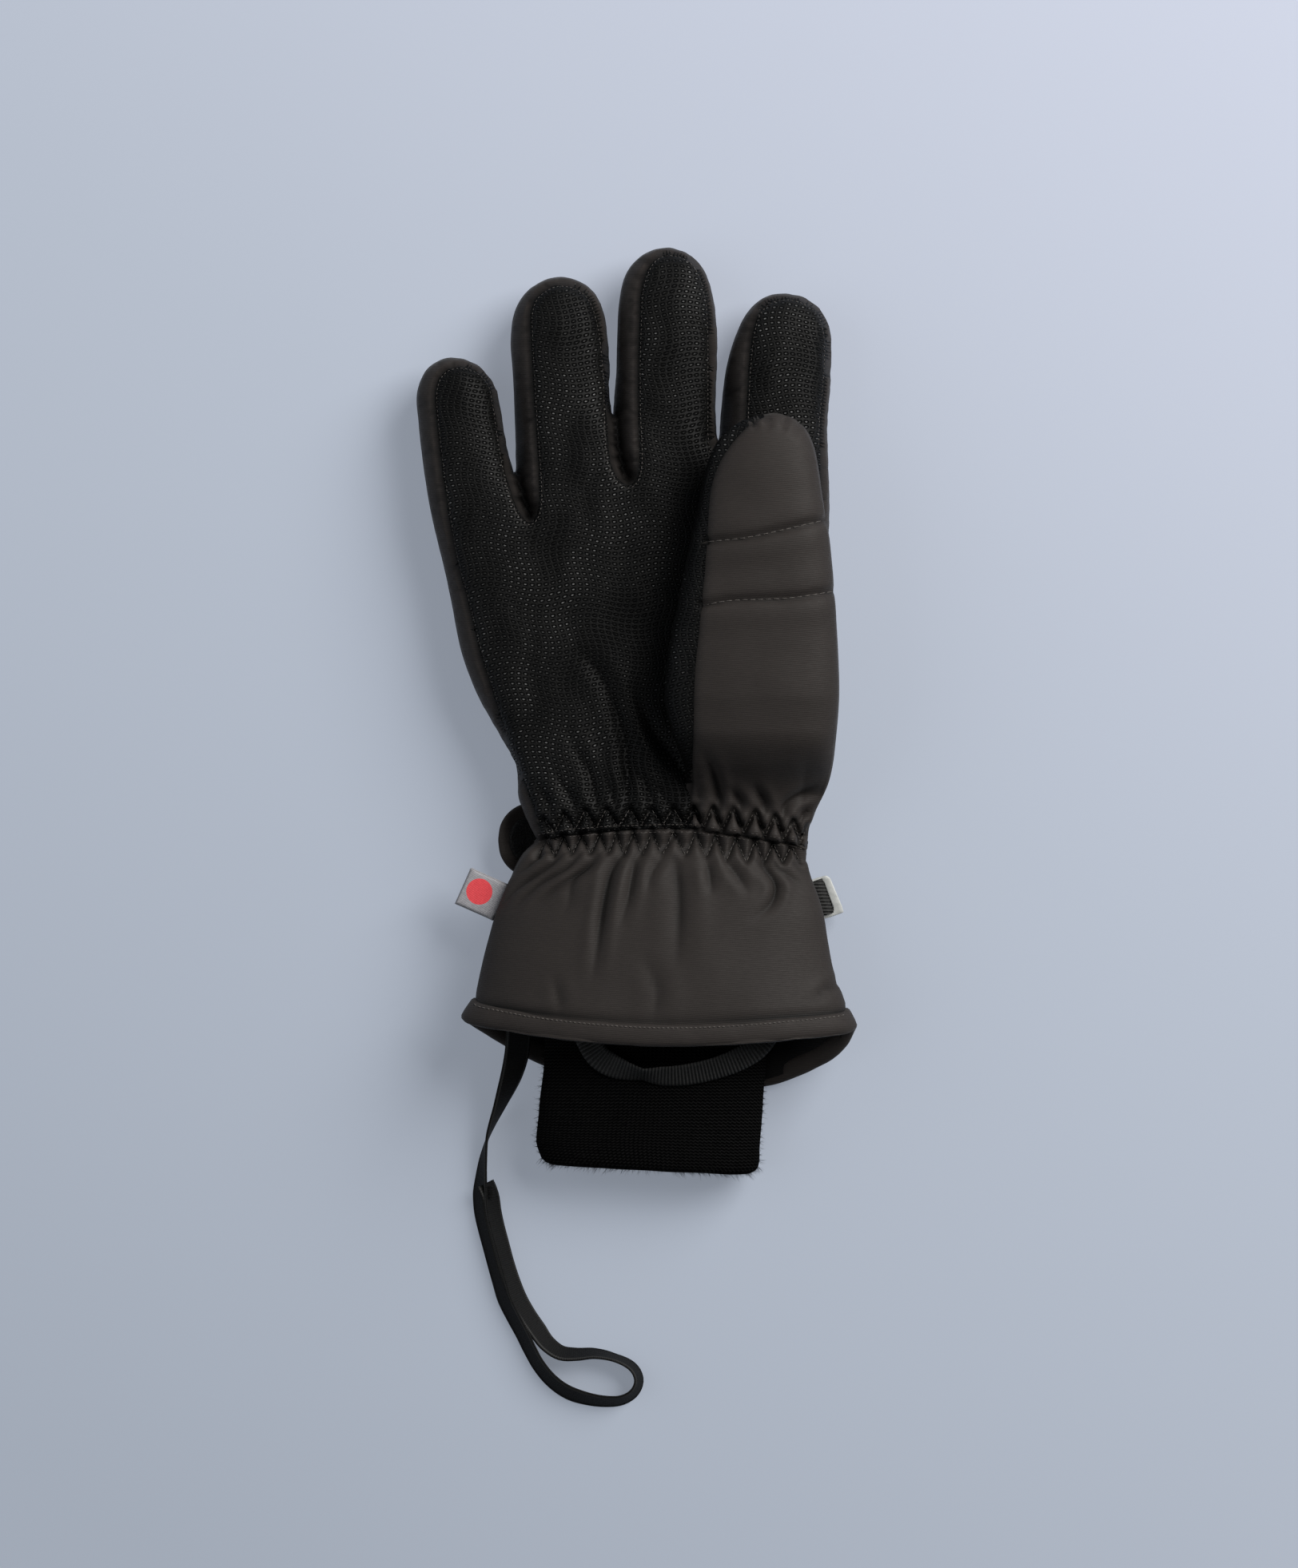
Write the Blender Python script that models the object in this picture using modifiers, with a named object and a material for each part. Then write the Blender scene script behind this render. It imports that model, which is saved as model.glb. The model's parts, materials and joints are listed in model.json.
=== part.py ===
"""A padded ski glove for the right hand, lying on its back with the thumb folded over the palm.

+Y runs to the fingertips, +Z up out of the palm, and the glove rests on z = 0.
"""

import math

import bmesh
import bpy

MM = 0.001

# Driving dimensions, in millimetres.
GAP = 0.3  # air between two pieces
SHELL = 1.2  # leather and nylon outer layer
FOLD_SHELL = 0.8  # the same layer where it is creased
PADDING = 2.8  # insulation
LINING = 0.8
LINER = 3.0  # insulation and lining quilted together in the fingers
KNIT = 2.0
FOLD = 1.0  # half of a knuckle's soft fold, on the side that doesn't crease
ROUND = 2.3  # exponent of every section: 2 is an ellipse, more is squarer

KNUCKLE_Z = 16.0
KNUCKLE_BEND = 60.0
TIP_BEND = 50.0
THUMB_Z = 39.0
THUMB_SWING = 40.0
THUMB_BEND = 30.0
WRIST = (-43.0, 17.0)
WRIST_BEND = 40.0

# The part of a section that one material covers: from and to, counted from the right edge over the top, in
# this many steps, then the steps around the rest. A finger has leather on top. The thumb is turned over, so
# that nylon is on top and leather on its left and underneath.
FINGER_COVER = (25.0, 126.0, 4, 9)
THUMB_COVER = (-50.0, 133.0, 6, 6)
WRIST_STEPS = 20
PATCH_GAP = 4.4  # degrees between the two materials, so that their thickness clears on the inside of the curve

THUMB_SEAM_X = 18.8
PALM_Z = 15.1  # the palm's leather and the thumb's nylon are above these heights
THUMB_ROOT_Z = 16.4
HEM_Y, HEM_FRONT, HEM_BACK = -105.0, 7.0, 23.0
BINDING = 1.6


class Limb:
    """A padded tube along its own axis. Stations are (along, sideways, half width, half height, middle height)."""

    def __init__(self, root, lean, stations, cover=None, tip=None, tip_round=15.0):
        self.root = root
        self.cover = cover
        self.turn = math.radians(lean)
        self.stations = stations
        self.tip = tip
        self.tip_round = tip_round

    def section(self, along):
        rows = self.stations
        along = min(max(along, rows[0][0]), rows[-1][0])
        for low, high in zip(rows, rows[1:]):
            if along <= high[0]:
                share = (along - low[0]) / (high[0] - low[0])
                return [a + (b - a) * share for a, b in zip(low[1:], high[1:])]
        return list(rows[-1][1:])

    def point(self, along, degrees, inset=0.0):
        side, half_width, half_height, middle = self.section(along)
        taper = 1.0
        if self.tip is not None:
            end = self.tip - inset
            start = self.tip - self.tip_round
            if along > start:
                reach = min((along - start) / (end - start), 1.0)
                taper = (1.0 - reach**ROUND) ** (1.0 / ROUND)
        cos, sin = math.cos(math.radians(degrees)), math.sin(math.radians(degrees))
        across = math.copysign(abs(cos) ** (2.0 / ROUND), cos) * (half_width - inset) * taper
        height = math.copysign(abs(sin) ** (2.0 / ROUND), sin) * (half_height - inset) * taper
        return self.place(along, side + across, middle + height)

    def place(self, along, across, height):
        cos, sin = math.cos(self.turn), math.sin(self.turn)
        x = self.root[0] + across * cos - along * sin
        y = self.root[1] + across * sin + along * cos
        return (x * MM, y * MM, height * MM)


def crease(height, pivot, bend):
    """How far a segment's end stands back from its hinge at this height, so that it can bend."""
    return FOLD + GAP + max(0.0, height - pivot) * math.tan(math.radians(bend / 2.0))


# ---------------------------------------------------------------- the tubes
def finger(x, y, lean, half_height, tip, tip_knuckle, widths):
    stations = [(v, side, w, half_height, half_height) for v, side, w in widths]
    made = Limb((x, y), lean, stations, FINGER_COVER, tip, min(15.5, widths[-1][2]))
    made.tip_knuckle = tip_knuckle
    return made


FINGERS = {
    "pinky": finger(-56.6, 82.0, 7.4, 11.5, 37.8, 18.0, [
        (-42, 0.8, 15.6), (-22, 0.7, 15.6), (-9, 0.0, 14.9), (5, 0.0, 14.7), (17, 0.0, 14.1), (38, 0.0, 13.6),
    ]),
    "ring": finger(-24.1, 98.0, 1.8, 12.5, 49.0, 24.0, [
        (-58, 0.0, 17.0), (-23, 0.0, 17.3), (-17, 0.0, 16.7), (-4, 0.0, 16.5), (17, 0.0, 16.5), (49, 0.0, 16.2),
    ]),
    "middle": finger(10.2, 100.0, 0.5, 12.5, 56.7, 28.0, [
        (-60, 0.0, 18.0), (-25, 0.0, 18.2), (-21, 0.0, 16.3), (-6, 0.0, 16.9), (26, 0.0, 16.9), (57, 0.0, 16.6),
    ]),
    "index": finger(48.0, 104.0, -2.8, 12.5, 37.3, 18.0, [
        (-64, 0.0, 19.0), (-34, 0.0, 19.2), (-26, 0.0, 18.3), (-12, 0.0, 17.9), (1, 0.0, 17.7), (12, 0.0, 17.1),
        (38, 0.0, 15.6),
    ]),
}

HAND = Limb((0.0, 0.0), 0.0, [
    (-45, 12.3, 45.2, 11.5, 16.6),
    (-30, 8.9, 48.0, 12.0, 16.2),
    (-18, 8.0, 50.0, 12.6, 14.8),
    (-6, 6.0, 53.5, 13.2, 13.4),
    (5, 3.9, 57.0, 13.4, 13.4),
    (35, 0.9, 62.6, 13.4, 13.4),
    (50, 0.0, 65.0, 13.3, 13.3),
    (57, -0.6, 66.0, 13.1, 13.1),
    (62, -1.2, 65.6, 12.0, 12.6),
])

THUMB_BASE = Limb((40.0, -8.0), -2.2, [
    (-29, -3.9, 23.4, 10.2, 18.6),
    (-20, -2.4, 26.0, 12.2, 26.6),
    (-10, -1.2, 28.0, 12.2, 34.4),
    (0, -0.4, 28.2, 11.2, 38.6),
], THUMB_COVER)

THUMB = Limb((40.0, -8.0), -2.2, [
    (-10, -1.2, 28.0, 12.2, 34.4),
    (0, -0.4, 28.2, 11.2, 38.6),
    (9, -1.0, 29.3, 11.0, THUMB_Z),
    (35, -1.2, 27.5, 11.0, THUMB_Z),
    (51, -1.0, 25.2, 11.0, THUMB_Z),
    (68, -0.6, 22.7, 11.0, THUMB_Z),
    (79, -0.9, 20.7, 11.0, THUMB_Z),
    (90, -1.0, 18.8, 11.0, THUMB_Z),
    (108, -0.8, 17.0, 11.0, THUMB_Z),
], THUMB_COVER, 107.5, 17.0)
THUMB.tip_knuckle = 60.0

GAUNTLET = Limb((0.0, 0.0), 180.0, [
    (30, -8.9, 48.0, 12.0, 16.2),
    (45, -12.3, 45.2, 11.5, 16.6),
    (56, -8.8, 50.8, 14.0, 18.6),
    (68, -8.4, 55.2, 16.0, 19.2),
    (80, -7.6, 58.0, 17.8, 19.4),
    (92, -7.8, 61.2, 19.4, 20.0),
    (103, -8.1, 65.6, 20.6, 20.6),
    (130, -8.1, 66.2, 21.0, 21.0),
])

KNIT_CUFF = Limb((0.0, 0.0), 180.0, [
    (48, -9.0, 34.0, 8.0, 16.8),
    (75, -8.0, 36.5, 9.0, 15.4),
    (105, -6.8, 37.2, 9.2, 13.8),
    (130, -5.4, 37.5, 9.2, 12.9),
    (156.5, -5.0, 36.4, 9.6, 9.9),
])


# ---------------------------------------------------------------- building
def clear_scene():
    for old in list(bpy.data.objects):
        bpy.data.objects.remove(old, do_unlink=True)


def collection(name):
    made = bpy.data.collections.new(name)
    bpy.context.scene.collection.children.link(made)
    return made


def material(name, colour, roughness, metallic=0.0):
    made = bpy.data.materials.new(name)
    made.use_nodes = True
    shader = made.node_tree.nodes["Principled BSDF"]
    shader.inputs["Base Color"].default_value = (*colour, 1.0)
    shader.inputs["Roughness"].default_value = roughness
    shader.inputs["Metallic"].default_value = metallic
    return made


clear_scene()
PARTS = collection("ski_glove")
CUTTERS = collection("ski_glove_cutters")

LEATHER = ((0.012, 0.012, 0.012), 0.45)
NYLON = ((0.045, 0.038, 0.034), 0.7)
BLACK = ((0.008, 0.008, 0.009), 0.85)


def finish(made, finish_of=None, group=None):
    """Put an object in its collection, with a material of its own."""
    (group or PARTS).objects.link(made)
    if group is CUTTERS:
        made.hide_render = True
        made.display_type = "WIRE"
    else:
        made.data.materials.append(material(made.name, *finish_of))
        if made.type == "MESH":
            made.data.shade_smooth()
            made.data.set_sharp_from_angle(angle=math.radians(40))
    return made


def mesh_object(name, bm):
    data = bpy.data.meshes.new(name)
    bm.to_mesh(data)
    bm.free()
    return bpy.data.objects.new(name, data)


def thicken(made, thickness):
    shell = made.modifiers.new("thickness", "SOLIDIFY")
    shell.thickness = thickness * MM
    shell.offset = -1.0
    shell.use_even_offset = True
    shell.use_quality_normals = True
    return made


def loft(name, limb, rows, angles, inset=0.0, window=None, closed_tip=False):
    """An open skin through rows of points. A row is a function of the angle that gives the distance along."""
    bm = bmesh.new()
    round_trip = abs(angles[-1] - angles[0]) >= 359.0
    if round_trip:
        angles = angles[:-1]
    grid = [[bm.verts.new(limb.point(row(a), a, inset)) for a in angles] for row in rows]
    count = len(angles)
    for i in range(len(rows) - 1):
        for j in range(count if round_trip else count - 1):
            if window and window(i, angles[j]):
                continue
            k = (j + 1) % count
            bm.faces.new((grid[i][j], grid[i + 1][j], grid[i + 1][k], grid[i][k]))
    if closed_tip:
        bm.faces.new(list(reversed(grid[-1])))
    loose = [v for v in bm.verts if not v.link_faces]
    bmesh.ops.delete(bm, geom=loose, context="VERTS")
    return mesh_object(name, bm)


def spread(first, last, steps):
    return [first + (last - first) * i / steps for i in range(steps + 1)]


def full_turn(limb):
    """Angles around a limb, with one at each edge of its upper material."""
    if limb.cover is None:
        return spread(0.0, 360.0, WRIST_STEPS)
    low, high, over, rest = limb.cover
    return spread(low, high, over) + spread(high, low + 360.0, rest)[1:]


def surface_height(limb, along, angle):
    return limb.point(along, angle)[2] / MM


def end_row(limb, knuckle, pivot, bend, side, extra=0.0):
    """The creased end of a segment: side is +1 past the hinge and -1 before it."""

    def row(angle):
        height = surface_height(limb, knuckle, angle)
        return knuckle + side * (crease(height, pivot, bend) + extra)

    return row


def at(along):
    return lambda angle: along


# ---------------------------------------------------------------- fingers and thumb
def segment(name, limb, start, end, leather_on_top, tip=False):
    """One stiff stretch of a finger: its leather, its nylon and its padded liner."""
    rows = [start, end]
    if tip:
        base = limb.tip - limb.tip_round
        rows = [start] + [at(base + limb.tip_round * r) for r in (0.15, 0.55, 0.82, 0.97)]
    elif limb is THUMB:
        rows = [start, at(18.0), at(38.0), end]
    low, high, over_steps, rest_steps = limb.cover
    covered = spread(low + PATCH_GAP, high - PATCH_GAP, over_steps)
    rest = spread(high, low + 360.0, rest_steps)
    patch_rows = rows[:-1] if tip else rows
    on_top = ("leather", LEATHER) if leather_on_top else ("nylon", NYLON)
    below = ("nylon", NYLON) if leather_on_top else ("leather", LEATHER)
    if tip:
        top_end = patch_rows[-1]
        patch_rows = patch_rows[:-1] + [lambda a: top_end(a) - 3.0 * GAP]
    patch = loft(f"{name}_{on_top[0]}", limb, patch_rows, covered)
    finish(thicken(patch, SHELL), on_top[1])
    if tip:
        last = len(rows) - 2
        cover = loft(
            f"{name}_{below[0]}", limb, rows, full_turn(limb),
            window=lambda i, a: i < last and low - 0.5 <= a < high - 0.5, closed_tip=True,
        )
    else:
        cover = loft(f"{name}_{below[0]}", limb, rows, rest)
    finish(thicken(cover, SHELL), below[1])
    inset = SHELL + 3.0 * GAP
    inside = [lambda a, r=r: min(r(a), limb.tip - inset - 2.0) for r in rows]
    liner = loft(f"{name}_liner", limb, inside, full_turn(limb), inset, closed_tip=tip)
    finish(thicken(liner, LINER), BLACK)


def soft_fold(name, limb, knuckle, pivot, bend, off_the_hand=False):
    """The creased ring of shell between two stiff stretches. The hand's own ends are cut square to the crease."""
    square = SHELL * math.tan(math.radians(bend / 2.0)) if off_the_hand else 0.0
    rows = [end_row(limb, knuckle, pivot, bend, -1, -GAP - square), end_row(limb, knuckle, pivot, bend, 1, -GAP)]
    finish(thicken(loft(name, limb, rows, full_turn(limb)), FOLD_SHELL), LEATHER)


def make_finger(name, limb):
    middle = end_row(limb, 0.0, KNUCKLE_Z, KNUCKLE_BEND, 1)
    before_tip = end_row(limb, limb.tip_knuckle, KNUCKLE_Z, TIP_BEND, -1)
    after_tip = end_row(limb, limb.tip_knuckle, KNUCKLE_Z, TIP_BEND, 1)
    soft_fold(f"{name}_knuckle_fold", limb, 0.0, KNUCKLE_Z, KNUCKLE_BEND, True)
    segment(f"{name}_middle", limb, middle, before_tip, True)
    soft_fold(f"{name}_tip_fold", limb, limb.tip_knuckle, KNUCKLE_Z, TIP_BEND)
    segment(f"{name}_tip", limb, after_tip, None, True, tip=True)


def make_thumb():
    swing = end_row(THUMB, 0.0, THUMB_Z, THUMB_SWING, 1)
    before_tip = end_row(THUMB, THUMB.tip_knuckle, THUMB_Z, THUMB_BEND, -1)
    after_tip = end_row(THUMB, THUMB.tip_knuckle, THUMB_Z, THUMB_BEND, 1)
    soft_fold("thumb_root_fold", THUMB, 0.0, THUMB_Z, THUMB_SWING, True)
    segment("thumb_middle", THUMB, swing, before_tip, False)
    soft_fold("thumb_tip_fold", THUMB, THUMB.tip_knuckle, THUMB_Z, THUMB_BEND)
    segment("thumb_tip", THUMB, after_tip, None, False, tip=True)


# ---------------------------------------------------------------- hand
def closed_tube(name, limb, first, last, inset, pivot):
    """A solid tube between two rows. Its ends are fans about a point at the hinge's height."""
    bm = bmesh.new()
    angles = full_turn(limb)[:-1]
    stations = [s[0] for s in limb.stations]
    low = max(first(a) for a in angles)
    high = min(last(a) for a in angles)
    rows = [first] + [at(s) for s in stations if low + 1.0 < s < high - 1.0] + [last]
    grid = [[bm.verts.new(limb.point(row(a), a, inset)) for a in angles] for row in rows]
    count = len(angles)
    for i in range(len(rows) - 1):
        for j in range(count):
            k = (j + 1) % count
            bm.faces.new((grid[i][j], grid[i + 1][j], grid[i + 1][k], grid[i][k]))
    for ring, row, flip in ((grid[0], first, False), (grid[-1], last, True)):
        side, _, _, middle = limb.section(row(0.0))
        height = min(max(pivot, middle - 4.0), middle + 4.0)
        centre = bm.verts.new(limb.place(row(0.0), side, height))
        for j in range(count):
            k = (j + 1) % count
            corners = (ring[j], ring[k], centre)
            bm.faces.new(tuple(reversed(corners)) if flip else corners)
    return finish(mesh_object(name, bm), group=CUTTERS)


def boolean(made, operation, other):
    step = made.modifiers.new(operation.lower(), "BOOLEAN")
    step.operation = operation
    step.solver = "EXACT"
    if isinstance(other, bpy.types.Collection):
        step.operand_type = "COLLECTION"
        step.collection = other
    else:
        step.object = other
    return made


def glove_solid(label, inset, hollow):
    """The hand, four finger roots and the thumb's root as one solid, inset all round. A hollow runs out past the ends."""
    out = 12.0 if hollow else 0.0
    branches = bpy.data.collections.new(f"branches_{label}")
    CUTTERS.children.link(branches)
    for name, limb in FINGERS.items():
        first = at(limb.stations[0][0] + inset)
        last = end_row(limb, 0.0, KNUCKLE_Z, KNUCKLE_BEND, -1)
        tube = closed_tube(
            f"{name}_root_{label}", limb, first, lambda a, r=last: r(a) + out, inset, KNUCKLE_Z
        )
        CUTTERS.objects.unlink(tube)
        branches.objects.link(tube)
    thumb_end = end_row(THUMB_BASE, 0.0, THUMB_Z, THUMB_SWING, -1)
    tube = closed_tube(
        f"thumb_root_{label}", THUMB_BASE, at(-28.6 + inset), lambda a: thumb_end(a) + out, inset, THUMB_Z
    )
    CUTTERS.objects.unlink(tube)
    branches.objects.link(tube)
    wrist = end_row(HAND, WRIST[0], WRIST[1], WRIST_BEND, 1)
    core = closed_tube(f"hand_{label}", HAND, lambda a: wrist(a) - out, at(62.0 - inset), inset, WRIST[1])
    return core, branches


def hand_layer(name, finish_of, outer, inner):
    """A shell of the hand between two insets."""
    core, branches = glove_solid(f"{name}_outside", outer, False)
    hollow, hollow_branches = glove_solid(f"{name}_inside", inner, True)
    boolean(hollow, "UNION", hollow_branches)
    made = bpy.data.objects.new(name, core.data.copy())
    bpy.data.objects.remove(core, do_unlink=True)
    finish(made, finish_of)
    boolean(made, "UNION", branches)
    boolean(made, "DIFFERENCE", hollow)
    return made


def outward(start, end):
    """The sideways direction out of an anticlockwise outline's edge."""
    dx, dy = end[0] - start[0], end[1] - start[1]
    return (dy / math.hypot(dx, dy), -dx / math.hypot(dx, dy))


def outline_prism(name, points, low, high, grow=0.0):
    """An upright prism over a flat outline that runs anticlockwise, grown sideways."""
    bm = bmesh.new()
    count = len(points)
    ring = []
    for i, corner in enumerate(points):
        ahead, behind = outward(corner, points[(i + 1) % count]), outward(points[i - 1], corner)
        miter = grow / max(0.2, 1.0 + ahead[0] * behind[0] + ahead[1] * behind[1])
        x, y = (c + miter * (a + b) for c, a, b in zip(corner, ahead, behind))
        ring.append(bm.verts.new((x * MM, y * MM, (low - grow) * MM)))
    base = bm.faces.new(ring)
    grown = bmesh.ops.extrude_face_region(bm, geom=[base])["geom"]
    lifted = [v for v in grown if isinstance(v, bmesh.types.BMVert)]
    bmesh.ops.translate(bm, vec=(0.0, 0.0, (high - low) * MM), verts=lifted)
    bmesh.ops.recalc_face_normals(bm, faces=bm.faces)
    return finish(mesh_object(name, bm), group=CUTTERS)


def limb_edge(limb, along, angle):
    x, y, _ = limb.point(along, angle)
    return (x / MM, y / MM)


def palm_outline():
    """The palm's leather seen from above, anticlockwise: wrist, right side, then over each finger root."""
    around = [(-30.0, -48.0), (THUMB_SEAM_X, -48.0), (THUMB_SEAM_X, -6.5), (57.5, -6.5)]
    around += [(60.5, 18.0), (63.3, 45.0)]
    crotches = {"index": (28.4, 79.0), "middle": (-6.4, 74.0), "ring": (-35.4, 62.0), "pinky": None}
    for name in ("index", "middle", "ring", "pinky"):
        limb = FINGERS[name]
        around += [limb_edge(limb, v, FINGER_COVER[0]) for v in (-18.0, 4.0)]
        around += [limb_edge(limb, v, FINGER_COVER[1]) for v in (4.0, -18.0)]
        if crotches[name]:
            around.append((crotches[name][0], crotches[name][1] - 1.5))
    around += [(-60.3, 48.0), (-56.0, 30.0), (-50.5, 12.0), (-45.5, -5.0), (-39.5, -20.0), (-33.0, -36.0)]
    return around


def make_hand():
    palm = hand_layer("palm_leather", LEATHER, 0.0, SHELL)
    outline = palm_outline()
    boolean(palm, "INTERSECT", outline_prism("palm_outline", outline, PALM_Z, 60.0))
    seam = THUMB_SEAM_X + GAP
    root_area = [(seam, -48.0), (80.0, -48.0), (80.0, -7.6), (seam, -7.6)]
    thumb_root = hand_layer("thumb_root_nylon", NYLON, 0.0, SHELL)
    boolean(thumb_root, "INTERSECT", outline_prism("thumb_root_area", root_area, THUMB_ROOT_Z, 60.0))
    back = hand_layer("back_nylon", NYLON, 0.0, SHELL)
    boolean(back, "DIFFERENCE", outline_prism("palm_outline_grown", outline, PALM_Z, 60.0, GAP))
    boolean(back, "DIFFERENCE", outline_prism("thumb_root_area_grown", root_area, THUMB_ROOT_Z, 60.0, GAP))
    layer = SHELL + GAP
    hand_layer("insulation", ((0.75, 0.75, 0.74), 0.9), layer, layer + PADDING)
    layer += PADDING + GAP
    hand_layer("hand_lining", BLACK, layer, layer + LINING)


# ---------------------------------------------------------------- wrist, gauntlet and cuff
def wrist_row(side, extra=0.0):
    """The wrist's creased edge, counted along the gauntlet from the hand."""
    return end_row(GAUNTLET, -WRIST[0], WRIST[1], WRIST_BEND, side, extra)


def hem_row(angle):
    sin = math.sin(math.radians(angle))
    return -HEM_Y + (HEM_FRONT if sin > 0 else HEM_BACK) * abs(sin)


def panel_end(angle):
    """Where a panel stops short of the binding, which is further off where the hem runs steeply."""
    around = math.dist(GAUNTLET.point(-HEM_Y, angle - 4.0), GAUNTLET.point(-HEM_Y, angle + 4.0)) / MM
    slope = (hem_row(angle + 4.0) - hem_row(angle - 4.0)) / around
    return hem_row(angle) - BINDING - (BINDING + 2.0 * GAP) * math.hypot(1.0, slope)


def make_wrist():
    soft_fold("wrist_elastic", GAUNTLET, -WRIST[0], WRIST[1], WRIST_BEND, True)


def make_gauntlet():
    rows = [wrist_row(1), at(56.0), at(68.0), at(80.0), at(94.0), panel_end]
    seam = 1.8
    front = loft("gauntlet_palm_side", GAUNTLET, rows, spread(seam, 180.0 - seam, WRIST_STEPS // 2))
    finish(thicken(front, SHELL), NYLON)
    back = loft("gauntlet_back_side", GAUNTLET, rows, spread(180.0 + seam, 360.0 - seam, WRIST_STEPS // 2))
    finish(thicken(back, SHELL), NYLON)
    inset = SHELL + 2.0 * GAP
    lining = loft("gauntlet_lining", GAUNTLET, rows, full_turn(GAUNTLET), inset)
    finish(thicken(lining, LINING), BLACK)
    hem = curve("hem_binding", [
        GAUNTLET.point(hem_row(a) - BINDING, a, BINDING) for a in spread(0.0, 360.0, 28)[:-1]
    ], BINDING, cyclic=True)
    finish(hem, NYLON)


def make_knit_cuff():
    rows = [at(v) for v in (49.5, 75.0, 105.0, 130.0, 156.5)]
    finish(thicken(loft("knit_cuff", KNIT_CUFF, rows, full_turn(KNIT_CUFF)), KNIT), BLACK)


def curve(name, points, radius, cyclic=False, resolution=2):
    data = bpy.data.curves.new(name, "CURVE")
    data.dimensions = "3D"
    data.bevel_depth = radius * MM
    data.bevel_resolution = resolution
    data.use_fill_caps = not cyclic
    spline = data.splines.new("POLY")
    spline.points.add(len(points) - 1)
    for place, point in zip(spline.points, points):
        place.co = (*point, 1.0)
    spline.use_cyclic_u = cyclic
    return bpy.data.objects.new(name, data)


def flat_piece(name, outline, height, thickness, place=(0.0, 0.0), turn=0.0):
    """A flat outline in millimetres, extruded upwards from a height."""
    data = bpy.data.curves.new(name, "CURVE")
    data.dimensions = "2D"
    data.fill_mode = "BOTH"
    data.extrude = thickness / 2.0 * MM
    spline = data.splines.new("POLY")
    spline.points.add(len(outline) - 1)
    for corner, (x, y) in zip(spline.points, outline):
        corner.co = (x * MM, y * MM, 0.0, 1.0)
    spline.use_cyclic_u = True
    made = bpy.data.objects.new(name, data)
    made.location = (place[0] * MM, place[1] * MM, (height + thickness / 2.0) * MM)
    made.rotation_euler = (0.0, 0.0, math.radians(turn))
    return made


# ---------------------------------------------------------------- trims
def tab(root_x, tip_x, low_y, high_y, corner):
    """A strip that ends in a round tip on the left."""
    outline = [(root_x, low_y), (root_x, high_y)]
    for degrees in spread(90.0, 180.0, 5):
        c, s = math.cos(math.radians(degrees)), math.sin(math.radians(degrees))
        outline.append((tip_x + corner + corner * c, high_y - corner + corner * s))
    for degrees in spread(180.0, 270.0, 5):
        c, s = math.cos(math.radians(degrees)), math.sin(math.radians(degrees))
        outline.append((tip_x + corner + corner * c, low_y + corner + corner * s))
    return outline


STRAP = (24.0, -46.3, -56.4, -31.0)  # root and tip in x, then its edges in y


def make_strap():
    root, tip, low, high = STRAP
    finish(flat_piece("wrist_strap", tab(root, tip, low, high, 10.0), 0.3, 1.8), NYLON)
    finish(flat_piece("hook_patch", tab(-18.0, tip + 4.5, low + 3.5, high - 3.5, 7.0), 2.4, 0.6), BLACK)
    patch = [(-16.0, -40.5), (12.0, -40.5), (12.0, -32.5), (-16.0, -32.5)]
    finish(flat_piece("loop_patch", patch, 3.3, 0.6), BLACK)


LABEL = (-43.2, -58.3, 13.2, 13.6, 24.0)  # root corner, length along the seam, reach and turn


def make_label():
    x, y, along, reach, turn = LABEL
    outline = [(0.0, 0.0), (-reach, 0.0), (-reach, -along), (0.0, -along)]
    finish(flat_piece("size_label", outline, 18.2, 0.8, (x, y), -turn), ((0.42, 0.42, 0.46), 0.5))


CLIP = (57.0, -57.2, 18.5)  # the top corner of the webbing, and how far the clip leans
CLIP_Z = 6.2


def make_clip():
    """A webbing loop around the inner bar of a rectangular frame."""
    x, y, lean = CLIP
    web_width, web = 10.4, 0.9
    profile = [(-1.0, 2.6), (4.4, 2.6), (5.9, 1.7), (6.5, 0.0), (5.9, -1.7), (4.4, -2.6), (-1.0, -2.6)]
    bm = bmesh.new()
    near = [bm.verts.new((a * MM, -0.8 * MM, h * MM)) for a, h in profile]
    far = [bm.verts.new((a * MM, (-0.8 - web_width) * MM, h * MM)) for a, h in profile]
    for i in range(len(profile) - 1):
        bm.faces.new((near[i], far[i], far[i + 1], near[i + 1]))
    webbing = mesh_object("clip_webbing", bm)
    frame = bmesh.new()
    outside = [(1.2, 1.0), (9.6, 1.0), (9.6, -13.0), (1.2, -13.0)]
    inside = [(3.2, -0.5), (7.3, -0.5), (7.3, -11.5), (3.2, -11.5)]
    outer = [frame.verts.new((a * MM, b * MM, -1.2 * MM)) for a, b in outside]
    inner = [frame.verts.new((a * MM, b * MM, -1.2 * MM)) for a, b in inside]
    for i in range(4):
        k = (i + 1) % 4
        frame.faces.new((outer[i], outer[k], inner[k], inner[i]))
    grown = bmesh.ops.extrude_face_region(frame, geom=list(frame.faces))["geom"]
    lifted = [v for v in grown if isinstance(v, bmesh.types.BMVert)]
    bmesh.ops.translate(frame, vec=(0.0, 0.0, 2.4 * MM), verts=lifted)
    bmesh.ops.recalc_face_normals(frame, faces=frame.faces)
    buckle = mesh_object("clip_frame", frame)
    for made in (webbing, buckle):
        made.location = (x * MM, y * MM, CLIP_Z * MM)
        made.rotation_euler = (0.0, 0.0, math.radians(lean))
    finish(thicken(webbing, web), BLACK)
    finish(buckle, ((0.62, 0.62, 0.60), 0.45))


LOOP_ROUTE = [
    (-17.0, -110.5), (-14.0, -115.0), (-8.5, -118.8), (-1.0, -121.0), (8.0, -122.0), (17.0, -122.2),
    (26.0, -121.2), (34.0, -118.2), (40.5, -113.8), (43.5, -110.5),
]
LOOP_WIDTH, LOOP_Z = 7.6, 23.6


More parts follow.
